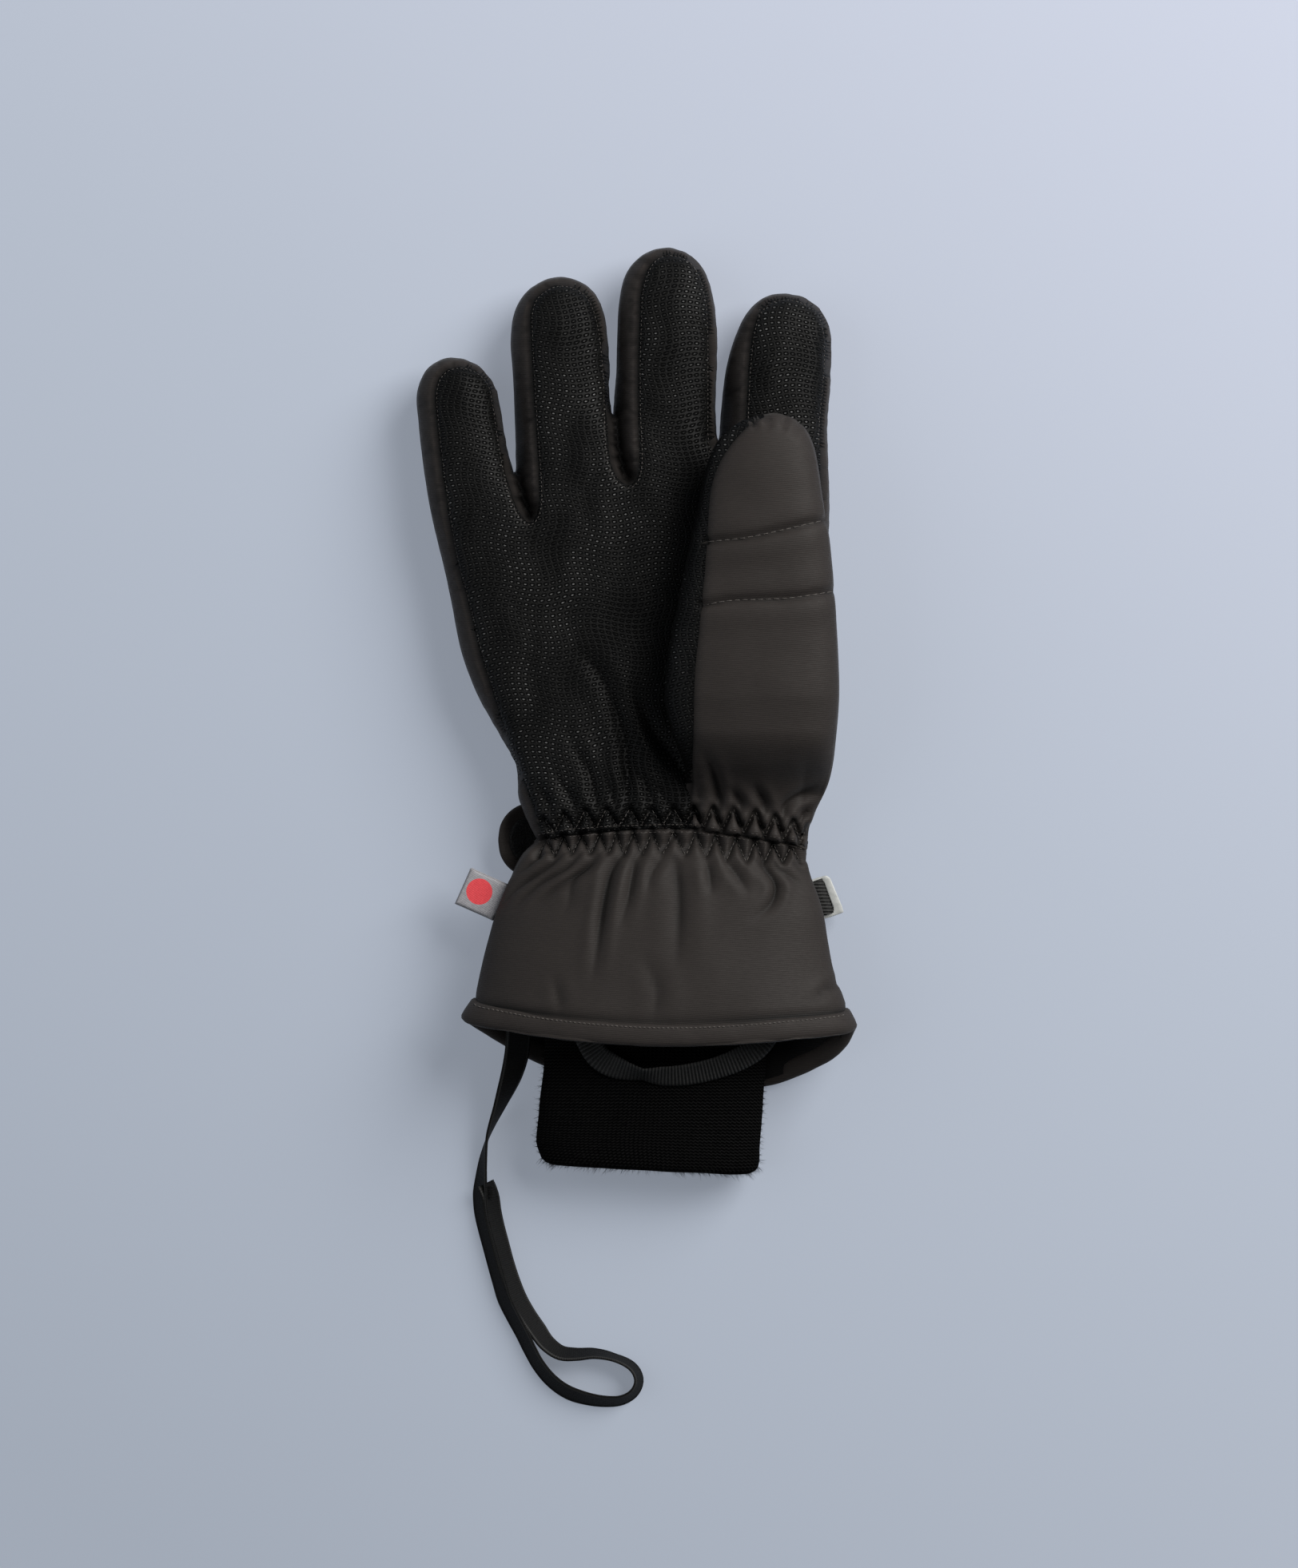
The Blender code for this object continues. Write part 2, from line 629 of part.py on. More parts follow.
def make_pull_loop():
    bm = bmesh.new()
    edges = []
    for i, (x, y) in enumerate(LOOP_ROUTE):
        before = LOOP_ROUTE[max(i - 1, 0)]
        after = LOOP_ROUTE[min(i + 1, len(LOOP_ROUTE) - 1)]
        dx, dy = after[0] - before[0], after[1] - before[1]
        long = math.hypot(dx, dy)
        nx, ny = -dy / long * LOOP_WIDTH / 2.0, dx / long * LOOP_WIDTH / 2.0
        edges.append([bm.verts.new(((x + s * nx) * MM, (y + s * ny) * MM, LOOP_Z * MM)) for s in (1, -1)])
    for first, second in zip(edges, edges[1:]):
        bm.faces.new((first[0], first[1], second[1], second[0]))
    finish(thicken(mesh_object("pull_loop", bm), 1.0), BLACK)


# The leash: out of the gauntlet beside the knit cuff, down to the table, and round a loop back to its bar tack.
LEASH_RADIUS = 1.8
LEASH_Z = LEASH_RADIUS + 0.2
LEASH_ROUTE = [
    (-38.6, -98.0, 15.5), (-39.0, -104.0, 15.6), (-39.4, -110.0, 15.4), (-40.0, -116.0, 14.2), (-41.7, -123.0, 11.6),
    (-43.8, -129.0, 8.4), (-46.2, -135.0, 5.4), (-48.6, -140.6, 3.3), (-50.4, -146.0, 2.1), (-51.6, -152.0, 2.0),
    (-52.3, -158.0, 2.0), (-52.8, -164.0, 2.0), (-52.6, -170.0, 2.0), (-51.6, -176.0, 2.0), (-50.4, -182.0, 2.0),
    (-49.2, -188.0, 2.0), (-47.8, -194.0, 2.0), (-46.0, -200.0, 2.0), (-42.8, -206.0, 2.0), (-39.4, -211.6, 2.0),
    (-36.4, -217.0, 2.0), (-33.1, -222.3, 2.0), (-28.6, -227.4, 2.0), (-23.2, -231.2, 2.0), (-16.8, -233.4, 2.0),
    (-10.0, -234.4, 2.0), (-4.4, -233.9, 2.0), (-0.3, -231.2, 2.0), (1.0, -226.8, 2.0), (-1.6, -222.4, 2.0),
    (-6.9, -218.8, 2.0), (-13.1, -217.6, 2.0), (-19.0, -217.9, 2.0), (-24.4, -217.4, 2.0), (-29.0, -214.2, 2.0),
    (-32.4, -209.6, 2.0), (-35.8, -204.6, 2.0), (-38.8, -199.2, 2.0), (-41.2, -193.2, 2.0), (-43.2, -187.0, 2.0),
    (-44.8, -181.0, 2.0), (-46.4, -175.0, 2.0), (-47.6, -169.4, 2.0), (-48.2, -165.0, 2.0),
]


def make_leash():
    points = [(x * MM, y * MM, z * MM) for x, y, z in LEASH_ROUTE]
    finish(curve("leash", points, LEASH_RADIUS), BLACK)
    tack = [(-54.0, -165.5), (-46.6, -165.5), (-46.6, -161.5), (-54.0, -161.5)]
    finish(flat_piece("leash_bar_tack", tack, 4.2, 0.8), BLACK)


make_hand()
for finger_name, finger_limb in FINGERS.items():
    make_finger(finger_name, finger_limb)
make_thumb()
make_wrist()
make_gauntlet()
make_knit_cuff()
make_strap()
make_label()
make_clip()
make_pull_loop()
make_leash()
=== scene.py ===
import json
import math
import random
from functools import partialmethod

import bmesh
import bpy
import numpy as np
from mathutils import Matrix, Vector, geometry, noise
from mathutils.bvhtree import BVHTree


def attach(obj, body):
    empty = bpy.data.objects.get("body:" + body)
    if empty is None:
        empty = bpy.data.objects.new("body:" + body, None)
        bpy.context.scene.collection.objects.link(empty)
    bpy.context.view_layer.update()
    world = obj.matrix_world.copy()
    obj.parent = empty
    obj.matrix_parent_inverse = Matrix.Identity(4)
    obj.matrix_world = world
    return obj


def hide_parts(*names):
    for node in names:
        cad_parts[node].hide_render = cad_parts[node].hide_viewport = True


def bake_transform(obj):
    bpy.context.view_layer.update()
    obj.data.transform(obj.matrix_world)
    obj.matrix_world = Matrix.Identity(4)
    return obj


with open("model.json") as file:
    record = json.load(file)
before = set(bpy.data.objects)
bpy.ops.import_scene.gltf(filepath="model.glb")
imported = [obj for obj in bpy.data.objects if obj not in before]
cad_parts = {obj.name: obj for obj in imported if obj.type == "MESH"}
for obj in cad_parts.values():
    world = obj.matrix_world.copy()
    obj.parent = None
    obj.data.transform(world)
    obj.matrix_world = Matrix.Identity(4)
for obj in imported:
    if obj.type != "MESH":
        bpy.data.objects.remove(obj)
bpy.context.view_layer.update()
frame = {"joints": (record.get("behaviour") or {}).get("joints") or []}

MM = 0.001
JOINTS = {j["name"]: j for j in frame["joints"]}
noise.seed_set(5)  # without a seed, noise_vector differs from run to run

# ---------------------------------------------------------------- camera, seen straight from above
VIEW_X, VIEW_Y, VIEW_HEIGHT, VIEW_Z = 0.0047, -0.0247, 0.5297, 0.014  # the picture's middle, height and plane
LENS, SENSOR = 135.0, 36.0
camera = bpy.data.objects.new("camera", bpy.data.cameras.new("camera"))
bpy.context.scene.collection.objects.link(camera)
bpy.context.scene.camera = camera
camera.data.lens = LENS
camera.data.sensor_width = SENSOR
camera.data.clip_start = 0.05
camera.data.clip_end = 20.0
bpy.context.scene.view_settings.view_transform = "Standard"
camera.location = (VIEW_X, VIEW_Y, VIEW_HEIGHT * LENS / SENSOR + VIEW_Z)


# ---------------------------------------------------------------- materials
class Shader:
    """A Principled material and short ways to wire its nodes."""

    def __init__(self, name, colour, roughness, **uniform):
        self.material = bpy.data.materials.new(name)
        self.material.use_nodes = True
        self.material.diffuse_color = (*colour, 1.0)
        self.nodes = self.material.node_tree.nodes
        self.links = self.material.node_tree.links
        self.shader = self.nodes["Principled BSDF"]
        self.shader.inputs["Base Color"].default_value = (*colour, 1.0)
        self.shader.inputs["Roughness"].default_value = roughness
        for socket, value in uniform.items():
            self.shader.inputs[socket.replace("_", " ")].default_value = value
        rest = self.nodes.new("ShaderNodeAttribute")
        rest.attribute_name = "rest"
        split = self.nodes.new("ShaderNodeSeparateXYZ")
        self.links.new(rest.outputs["Vector"], split.inputs[0])
        self.rest = rest.outputs["Vector"]
        self.x, self.y, self.z = split.outputs

    def put(self, value, socket):
        if hasattr(value, "is_output"):
            self.links.new(value, socket)
        else:
            socket.default_value = value

    def math(self, operation, *values):
        node = self.nodes.new("ShaderNodeMath")
        node.operation = operation
        for value, socket in zip(values, node.inputs):
            self.put(value, socket)
        return node.outputs[0]

    times = partialmethod(math, "MULTIPLY")
    plus = partialmethod(math, "ADD")
    minus = partialmethod(math, "SUBTRACT")
    times_plus = partialmethod(math, "MULTIPLY_ADD")
    sine = partialmethod(math, "SINE")
    fract = partialmethod(math, "FRACT")
    floor = partialmethod(math, "FLOOR")
    size = partialmethod(math, "ABSOLUTE")
    power = partialmethod(math, "POWER")
    below = partialmethod(math, "LESS_THAN")

    def noise(self, scale, detail=2.0, stretch=(1.0, 1.0, 1.0)):
        node = self.nodes.new("ShaderNodeTexNoise")
        node.inputs["Scale"].default_value = scale
        node.inputs["Detail"].default_value = detail
        mapping = self.nodes.new("ShaderNodeMapping")
        mapping.inputs["Scale"].default_value = stretch
        self.links.new(self.rest, mapping.inputs["Vector"])
        self.links.new(mapping.outputs[0], node.inputs["Vector"])
        return node.outputs["Fac"]

    def wave(self, along, pitch):
        """A smooth 0 to 1 ripple along a coordinate."""
        turn = self.times(along, 2.0 * math.pi / pitch)
        return self.times_plus(self.sine(turn), 0.5, 0.5)

    def ramp(self, value, *stops):
        node = self.nodes.new("ShaderNodeValToRGB")
        self.links.new(value, node.inputs[0])
        band = node.color_ramp
        while len(band.elements) < len(stops):
            band.elements.new(0.5)
        for element, (place, colour) in zip(band.elements, stops):
            element.position = place
            element.color = (*colour, 1.0)
        return node.outputs[0]

    def span(self, value, low, high, first, last):
        node = self.nodes.new("ShaderNodeMapRange")
        for socket, number in zip(node.inputs, (value, low, high, first, last)):
            self.put(number, socket)
        return node.outputs[0]

    def bump(self, height, distance, strength=1.0):
        node = self.nodes.new("ShaderNodeBump")
        node.inputs["Distance"].default_value = distance
        node.inputs["Strength"].default_value = strength
        self.links.new(height, node.inputs["Height"])
        self.links.new(node.outputs[0], self.shader.inputs["Normal"])

    def colour(self, socket):
        """Lays on the colour, darker by a per-point attribute of painted shade: in creases, grooves, seams and
        other shaded places.
        """
        crease = self.nodes.new("ShaderNodeAttribute")
        crease.attribute_name = "crease"
        dark = self.nodes.new("ShaderNodeMix")
        dark.data_type = "RGBA"
        dark.blend_type = "MULTIPLY"
        dark.inputs["B"].default_value = (0.0, 0.0, 0.0, 1.0)
        self.links.new(crease.outputs["Fac"], dark.inputs["Factor"])
        self.links.new(socket, dark.inputs["A"])
        self.links.new(dark.outputs["Result"], self.shader.inputs["Base Color"])

    def roughness(self, socket):
        self.links.new(socket, self.shader.inputs["Roughness"])


def grey(shade):
    return shade, shade, shade


def make_leather():
    """Black leather pressed with wavy rows of small oval rings, each round a glossy centre. Painted shade darkens
    the rings' trenches, painted glints lighten the centres, and noise patches paint broad shading into the base.
    """
    s = Shader("goat_leather", grey(0.008), 0.45, Specular_IOR_Level=0.11)
    sway = s.sine(s.times_plus(s.y, 285.0, s.times(s.x, 40.0)))
    dip = s.sine(s.times_plus(s.x, 210.0, s.times(s.y, 55.0)))
    across = s.times(s.times_plus(sway, 0.0012, s.x), 1.0 / 0.0023)
    up = s.times(s.times_plus(dip, 0.0011, s.y), 1.0 / 0.00176)
    dx = s.minus(s.fract(across), 0.5)
    dy = s.minus(s.fract(up), 0.5)
    cell = s.plus(s.times(s.floor(across), 12.9898), s.times(s.floor(up), 78.233))
    chance = s.fract(s.times(s.sine(cell), 43758.5453))
    wide = s.power(s.size(s.times(dx, 1.0 / 0.30)), 2.6)
    tall = s.power(s.size(s.times(dy, 1.0 / 0.25)), 2.6)
    radius = s.power(s.plus(wide, tall), 1.0 / 2.6)
    off = s.times(s.minus(radius, 1.0), 1.0 / 0.27)
    ring = s.power(2.718, s.times(s.times(off, off), -1.0))
    centre = s.span(radius, 0.4, 0.72, 1.0, 0.0)
    patches = s.noise(42.0, 2.0, (1.7, 0.6, 1.0))
    # noise patches where the painted glints are brighter
    painted_glint_patches = s.span(patches, 0.38, 0.62, 0.35, 1.0)
    painted_glint = s.times(s.times(centre, painted_glint_patches), s.times_plus(chance, 0.55, 0.45))
    grain = s.noise(2600.0, 3.0)
    # painted shade darkens the ring trenches, and painted glints lighten the centres
    tone = s.times_plus(painted_glint, 0.56, s.times(ring, -0.6))
    # broad lighter and darker patches laid by noise: painted shading
    tone = s.plus(s.plus(tone, 0.30), s.span(patches, 0.36, 0.64, 0.0, 0.15))
    s.colour(s.ramp(tone, (0.0, grey(0.0002)), (0.30, (0.0014, 0.0014, 0.0013)), (0.46, (0.0050, 0.0049, 0.0047)),
                    (0.62, (0.018, 0.018, 0.0176)), (1.0, (0.12, 0.12, 0.118))))
    gloss = s.times_plus(centre, -0.22, s.times_plus(patches, 0.16, 0.46))
    s.roughness(s.times_plus(ring, 0.15, gloss))
    height = s.times_plus(ring, -1.0, s.times(grain, 0.22))
    s.bump(s.times_plus(centre, 0.35, height), 0.0004, 1.0)
    return s.material


def make_nylon(name, dark, light, roughness):
    """Warm dark nylon with a fine cross rib and a slightly uneven dye."""
    s = Shader(name, light, roughness, Sheen_Weight=0.03, Sheen_Roughness=0.45, Specular_IOR_Level=0.11)
    ribs = s.wave(s.times_plus(s.x, 0.06, s.y), 0.00062)
    slub = s.noise(900.0, 3.0, (0.4, 2.0, 1.0))
    patches = s.noise(34.0, 3.0)
    tone = s.plus(s.times(ribs, 0.2), s.times(slub, 0.42))
    tone = s.times_plus(patches, 0.36, tone)
    s.colour(s.ramp(tone, (0.25, dark), (0.75, light)))
    s.roughness(s.span(tone, 0.2, 0.9, roughness + 0.08, roughness - 0.08))
    s.bump(s.times_plus(slub, 0.6, ribs), 0.00007, 0.5)
    return s.material


def make_woven(name, dark, light, pitch, ribbing, roughness=0.6, depth=0.0002, edge=0.0):
    """Tape or elastic woven with ribs across it; if asked, a painted highlight line runs along each edge ridge.
    """
    s = Shader(name, light, roughness, Specular_IOR_Level=0.1)
    ribs = s.wave(s.y, pitch)
    slub = s.noise(1300.0, 2.0)
    patches = s.noise(60.0, 2.0)
    tone = s.plus(s.times(ribs, ribbing), s.times(slub, 0.85 - ribbing))
    # a painted highlight line along each edge ridge, lighter still at the ramp's top
    if edge:
        away = s.minus(s.size(s.x), edge)
        tone = s.times_plus(s.below(s.size(away), 0.0003), 0.6, tone)
    s.colour(s.ramp(s.times_plus(patches, 0.15, tone), (0.15, dark), (0.8, light),
                    (1.0, tuple(3.0 * c for c in light) if edge else light)))
    s.roughness(s.span(tone, 0.0, 1.0, roughness + 0.1, roughness - 0.08))
    s.bump(s.plus(s.times(slub, 0.9 - ribbing), s.times(ribs, 2.0 * ribbing)), depth, 0.8)
    return s.material


def make_knit():
    """Black rib knit: columns of V stitches."""
    s = Shader("rib_knit", grey(0.002), 0.95, Specular_IOR_Level=0.02)
    lean = s.size(s.minus(s.fract(s.x), 0.5))
    stitch = s.wave(s.times_plus(lean, 0.0011, s.y), 0.0011)
    yarn = s.noise(1500.0, 3.0)
    tone = s.times_plus(stitch, 0.5, s.times(yarn, 0.5))
    s.colour(s.ramp(tone, (0.3, (0.0004, 0.0004, 0.0005)), (0.58, grey(0.0022)), (0.85, grey(0.013))))
    s.roughness(s.span(yarn, 0.0, 1.0, 0.98, 0.8))
    s.bump(tone, 0.00035, 0.9)
    return s.material


def make_plain(name, dark, light, roughness, grain=400.0, depth=0.00005, **uniform):
    s = Shader(name, light, roughness, **uniform)
    tone = s.noise(grain, 3.0)
    s.colour(s.ramp(tone, (0.3, dark), (0.7, light)))
    s.roughness(s.span(tone, 0.2, 0.8, roughness + 0.06, roughness - 0.06))
    s.bump(tone, depth)
    return s.material


def make_label():
    """Grey satin with one plain red dot."""
    s = Shader("satin_label", (0.3, 0.3, 0.31), 0.42, Sheen_Weight=0.2)
    weave = s.wave(s.y, 0.00045)
    fleck = s.noise(900.0, 2.0)
    tone = s.times_plus(weave, 0.5, s.times(fleck, 0.5))
    satin = s.ramp(tone, (0.2, (0.135, 0.13, 0.14)), (0.8, (0.30, 0.295, 0.31)))
    red = s.ramp(tone, (0.2, (0.42, 0.022, 0.03)), (0.8, (0.66, 0.05, 0.06)))
    dx, dy = (s.minus(along, middle) for along, middle in ((s.x, 0.0074), (s.y, 0.0062)))
    away = s.plus(s.power(s.size(dx), 2.0), s.power(s.size(dy), 2.0))
    dot = s.below(away, 0.0044 ** 2)
    mix = s.nodes.new("ShaderNodeMix")
    mix.data_type = "RGBA"
    s.links.new(dot, mix.inputs["Factor"])
    s.links.new(satin, mix.inputs["A"])
    s.links.new(red, mix.inputs["B"])
    s.colour(mix.outputs["Result"])
    s.bump(tone, 0.0001, 0.6)
    return s.material


LEATHER = make_leather()
NYLON = make_nylon("shell_nylon", (0.0170, 0.0143, 0.0131), (0.0262, 0.0223, 0.0204), 0.58)
LINING = make_nylon("lining_taffeta", (0.0012, 0.0012, 0.0013), (0.004, 0.0038, 0.0038), 0.5)
KNIT = make_knit()
WEBBING = make_woven("woven_tape", grey(0.0015), (0.034, 0.034, 0.033), 0.00115, 0.45, 0.5, 0.0004)
ELASTIC = make_woven("flat_elastic", grey(0.0008), (0.0062, 0.0062, 0.0061), 0.0007, 0.15, edge=0.0036)
HOOKS = make_plain("hook_tape", grey(0.001), grey(0.02), 0.7, 2200.0, 0.0005, Specular_IOR_Level=0.1)
LOOPS = make_plain("loop_tape", grey(0.003), grey(0.012), 0.95, 1800.0, 0.0005, Specular_IOR_Level=0.1)
THREAD = make_plain("thread", (0.03, 0.027, 0.025), (0.105, 0.095, 0.088), 0.55, 3000.0, 0.00008,
                    Specular_IOR_Level=0.12)
DARK_THREAD = make_plain("dark_thread", grey(0.001), grey(0.006), 0.5, 3000.0, 0.00008, Specular_IOR_Level=0.1)
LABEL = make_label()
PLASTIC = make_plain("clip_plastic", (0.30, 0.31, 0.30), (0.45, 0.46, 0.45), 0.38, 500.0, 0.00004)


# ---------------------------------------------------------------- lines and meshes
def line(points, step, closed=False):
    """A smooth line through the points, in even steps."""
    p = np.array(points, float)
    if closed:
        q = np.vstack([p[-1], p, p[0], p[1]])
    else:
        q = np.vstack([2 * p[0] - p[1], p, 2 * p[-1] - p[-2]])
    dense = []
    for a, b, c, d in zip(q, q[1:], q[2:], q[3:]):
        long = np.linalg.norm(c - b)
        m0 = (c - a) / max(np.linalg.norm(c - a), 1e-9) * long
        m1 = (d - b) / max(np.linalg.norm(d - b), 1e-9) * long
        t = np.linspace(0, 1, max(4, int(long / step * 4)), endpoint=False)[:, None]
        dense.append((2 * t**3 - 3 * t**2 + 1) * b + (t**3 - 2 * t**2 + t) * m0
                     + (3 * t**2 - 2 * t**3) * c + (t**3 - t**2) * m1)
    dense = np.vstack(dense + [q[-2][None]])
    far = lengths(dense)
    count = max(2, int(round(far[-1] / step)) + 1)
    at = np.linspace(0, far[-1], count)
    if closed:
        at = at[:-1]
    return np.column_stack([np.interp(at, far, dense[:, i]) for i in range(p.shape[1])])


def lengths(path):
    """How far along a path each of its points is."""
    return np.concatenate([[0], np.cumsum(np.linalg.norm(np.diff(path, axis=0), axis=1))])


def beside(turn):
    """Unit vectors to the left of directions in plan."""
    return np.column_stack([-turn[:, 1], turn[:, 0]]) / np.linalg.norm(turn, axis=1)[:, None]


def bell(d, width):
    """1 at d = 0, falling smoothly to 0 past the width."""
    return np.exp(-(d / width) ** 2)


def distance(points, path):
    """The distance from each point to a path in plan, and the nearest place along it from 0 to 1."""
    a, b = path[:-1], path[1:]
    best = np.full(len(points), 1e9)
    where = np.zeros(len(points))
    d = b - a
    dd = np.maximum((d * d).sum(1), 1e-12)
    for low in range(0, len(points), 4000):
        p = points[low:low + 4000, None, :2] - a[None, :, :2]
        t = np.clip((p * d[None, :, :2]).sum(2) / dd, 0, 1)
        gap = np.linalg.norm(p - t[:, :, None] * d[None, :, :2], axis=2)
        k = gap.argmin(1)
        rows = np.arange(len(k))
        best[low:low + 4000] = gap[rows, k]
        where[low:low + 4000] = (k + t[rows, k]) / len(a)
    return best, where


def inside(points, polygon):
    x, y = points[:, 0], points[:, 1]
    odd = np.zeros(len(points), bool)
    for (ax, ay), (bx, by) in zip(polygon, np.roll(polygon, -1, axis=0)):
        if ay == by:
            continue
        cross = (ay > y) != (by > y)
        odd ^= cross & (x < (bx - ax) * (y - ay) / (by - ay) + ax)
    return odd


def smooth_step(x):
    x = np.clip(x, 0.0, 1.0)
    return x * x * (3 - 2 * x)


def bumps(points, size, seed):
    """Slow, even noise from -1 to 1 in mm space."""
    return np.array([noise.noise((p[0] / size + seed, p[1] / size, p[2] / size)) for p in points])


FINE_Y, FINE = -20.0, 0.85


class Pillow:
    """A flat outline, triangulated, and how far it swells: 0 at its edge, level far from it."""

    def __init__(self, outline, seams, spacing, reach, crown, cut_y):
        taken = {}
        kept = []

        def near(p, gap):
            cx, cy = int(p[0] // 2.0), int(p[1] // 2.0)
            for i in (-1, 0, 1):
                for j in (-1, 0, 1):
                    for q in taken.get((cx + i, cy + j), ()):
                        if (p[0] - q[0]) ** 2 + (p[1] - q[1]) ** 2 < gap * gap:
                            return True
            return False

        def keep(p):
            taken.setdefault((int(p[0] // 2.0), int(p[1] // 2.0)), []).append(p)
            kept.append((float(p[0]), float(p[1])))

        for p in outline:
            keep(p)
        edges = [(i, (i + 1) % len(outline)) for i in range(len(outline))]
        for seam in seams:
            first = len(kept)
            for p in seam:
                keep(p)
            edges += [(first + i, first + i + 1) for i in range(len(seam) - 1)]
        closed = np.vstack([outline, outline[:1]])
        normal = beside(np.roll(outline, -1, axis=0) - np.roll(outline, 1, axis=0))
        area = (closed[:-1, 0] * closed[1:, 1] - closed[1:, 0] * closed[:-1, 1]).sum()
        normal *= 1.0 if area > 0 else -1.0
        for back, gap in ((0.3, 0.75), (0.9, 0.85), (1.8, 1.0), (3.0, 1.2)):
            ring = outline + normal * back
            clear = distance(ring, closed)[0] > back * 0.93
            for p in ring[clear & inside(ring, outline)]:
                if not near(p, min(gap, back * 0.9 + 0.15)):
                    keep(p)
        for seam in seams:
            side = beside(np.gradient(seam, axis=0))
            for back in (0.6, -0.6, 1.4, -1.4):
                ring = seam + side * back
                fits = inside(ring, outline) & (distance(ring, closed)[0] > 0.5)
                for p in ring[fits]:
                    if not near(p, 0.62):
                        keep(p)
        low, high = outline.min(0), outline.max(0)
        for first, last, gap in ((low[1], FINE_Y, FINE), (FINE_Y, high[1], spacing)):
            rows = np.arange(first, last, gap * 0.866)
            grid = np.array([(x + (n % 2) * gap / 2, y) for n, y in enumerate(rows)
                             for x in np.arange(low[0], high[0], gap)])
            if len(grid):
                grid = grid[inside(grid, outline)]
                grid = grid[distance(grid, closed)[0] > min(0.9, gap)]
            for p in grid:
                if not near(p, gap * 0.72):
                    keep(p)
        flat = [Vector(p) for p in kept]
        verts, _, faces, *_ = geometry.delaunay_2d_cdt(flat, edges, [], 0, 1e-5)
        xy = np.array([tuple(v) for v in verts])
        tris = np.array([f for f in faces if len(f) == 3])
        middle = xy[tris].mean(1)
        tris = tris[inside(middle, outline)]
        used = np.unique(tris)
        back = np.full(len(xy), -1)
        back[used] = np.arange(len(used))
        self.xy, self.tris = xy[used], back[tris]
        self.edge_gap = distance(self.xy, closed)[0]
        self.rim = (self.edge_gap < 1e-3) & (self.xy[:, 1] > cut_y + 0.05)
        self.swell = self.solve(reach, crown)

    def solve(self, reach, crown):
        """The square root of the screened Poisson problem's answer, by conjugate gradients."""
        xy, tris, n = self.xy, self.tris, len(self.xy)
        i, j, w = [], [], []
        area = np.zeros(n)
        for k in range(3):
            a, b, c = tris[:, k], tris[:, (k + 1) % 3], tris[:, (k + 2) % 3]
            u, v = xy[a] - xy[c], xy[b] - xy[c]
            cross = np.abs(u[:, 0] * v[:, 1] - u[:, 1] * v[:, 0])
            w.append(0.5 * (u * v).sum(1) / np.maximum(cross, 1e-6))
            i.append(a)
            j.append(b)
            area += np.bincount(a, cross / 6.0, n)
        i, j, w = np.concatenate(i), np.concatenate(j), np.concatenate(w)
        free = (~self.rim).astype(float)
        diagonal = np.bincount(i, w, n) + np.bincount(j, w, n) + area / reach**2

        def times(x):
            x = x * free
            y = diagonal * x - np.bincount(i, w * x[j], n) - np.bincount(j, w * x[i], n)
            return y * free

        right = area * crown * free
        x = np.zeros(n)
        r = right - times(x)
        z = r / diagonal
        p = z.copy()
        rz = (r * z).sum()
        for _ in range(900):
            q = times(p)
            step = rz / max((p * q).sum(), 1e-30)
            x += step * p
            r -= step * q
            if np.abs(r).max() < 1e-6 * np.abs(right).max():
                break
            z = r / diagonal
            fresh = (r * z).sum()
            p = z + fresh / rz * p
            rz = fresh
        return np.sqrt(np.maximum(x, 0.0))

    def shell(self, top, bottom):
        """The closed shell's points, faces and which faces are on top, from the two sides' heights."""
        n = len(self.xy)
        joined = self.rim
        other = np.where(joined, np.arange(n), n + np.cumsum(~joined) - 1)
        points = np.column_stack([self.xy, np.where(joined, (top + bottom) / 2, top)])
        low = np.column_stack([self.xy, bottom])[~joined]
        faces = np.vstack([self.tris, other[self.tris][:, ::-1]])
        on_top = np.arange(len(faces)) < len(self.tris)
        return np.vstack([points, low]), faces, on_top


def vertex_normals(points, faces):
    a, b, c = (points[faces[:, k]] for k in range(3))
    cross = np.cross(b - a, c - a)
    total = np.zeros_like(points)
    for k in range(3):
        np.add.at(total, faces[:, k], cross)
    return total / np.maximum(np.linalg.norm(total, axis=1), 1e-12)[:, None]


def build(name, points, faces, material, rest=None, normals=None, crease=None):
    """A mesh object from points in mm. rest is the place, in metres, that its material is laid out on."""
    points = np.asarray(points, float)
    mesh = bpy.data.meshes.new(name)
    mesh.from_pydata((points * MM).tolist(), [], [list(map(int, f)) for f in faces])
    mesh.update()
    mesh.materials.append(material)
    mesh.polygons.foreach_set("use_smooth", [True] * len(mesh.polygons))
    layout = mesh.attributes.new("rest", "FLOAT_VECTOR", "POINT")
    where = points * MM if rest is None else np.asarray(rest, float)
    layout.data.foreach_set("vector", where.astype(np.float32).ravel())
    if crease is not None:
        mesh.attributes.new("crease", "FLOAT", "POINT").data.foreach_set("value", crease.astype(np.float32))
    if normals is not None:
        mesh.normals_split_custom_set_from_vertices(np.asarray(normals).tolist())
    made = bpy.data.objects.new(name, mesh)
    bpy.context.scene.collection.objects.link(made)
    return made


def declare(made, slot, *nodes, ride=None, fill=None):
    """Hides the CAD nodes a piece stands for, and attaches it to what it rides on; slot, what it is made of, is
    not used.
    """
    if nodes:
        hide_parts(*nodes)
    if ride:
        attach(made, ride)


def part_of(name, shell, wanted, material):
    """One piece of a bigger shell, shaded as if the shell were still whole."""
    points, faces, normals, rest, crease = shell
    chosen = faces[wanted]
    used = np.unique(chosen)
    back = np.zeros(len(points), int)
    back[used] = np.arange(len(used))
    return build(name, points[used], back[chosen], material, rest[used], normals[used], crease[used])


def halves(quads):
    """The triangles of an array of four-sided faces."""
    return np.vstack([quads[:, [0, 1, 2]], quads[:, [0, 2, 3]]])


def sheet_grid(rows, columns, closed=False):
    faces = []
    for r in range(rows - 1):
        for c in range(columns if closed else columns - 1):
            n = (c + 1) % columns
            faces.append((r * columns + c, r * columns + n, (r + 1) * columns + n, (r + 1) * columns + c))
    return faces


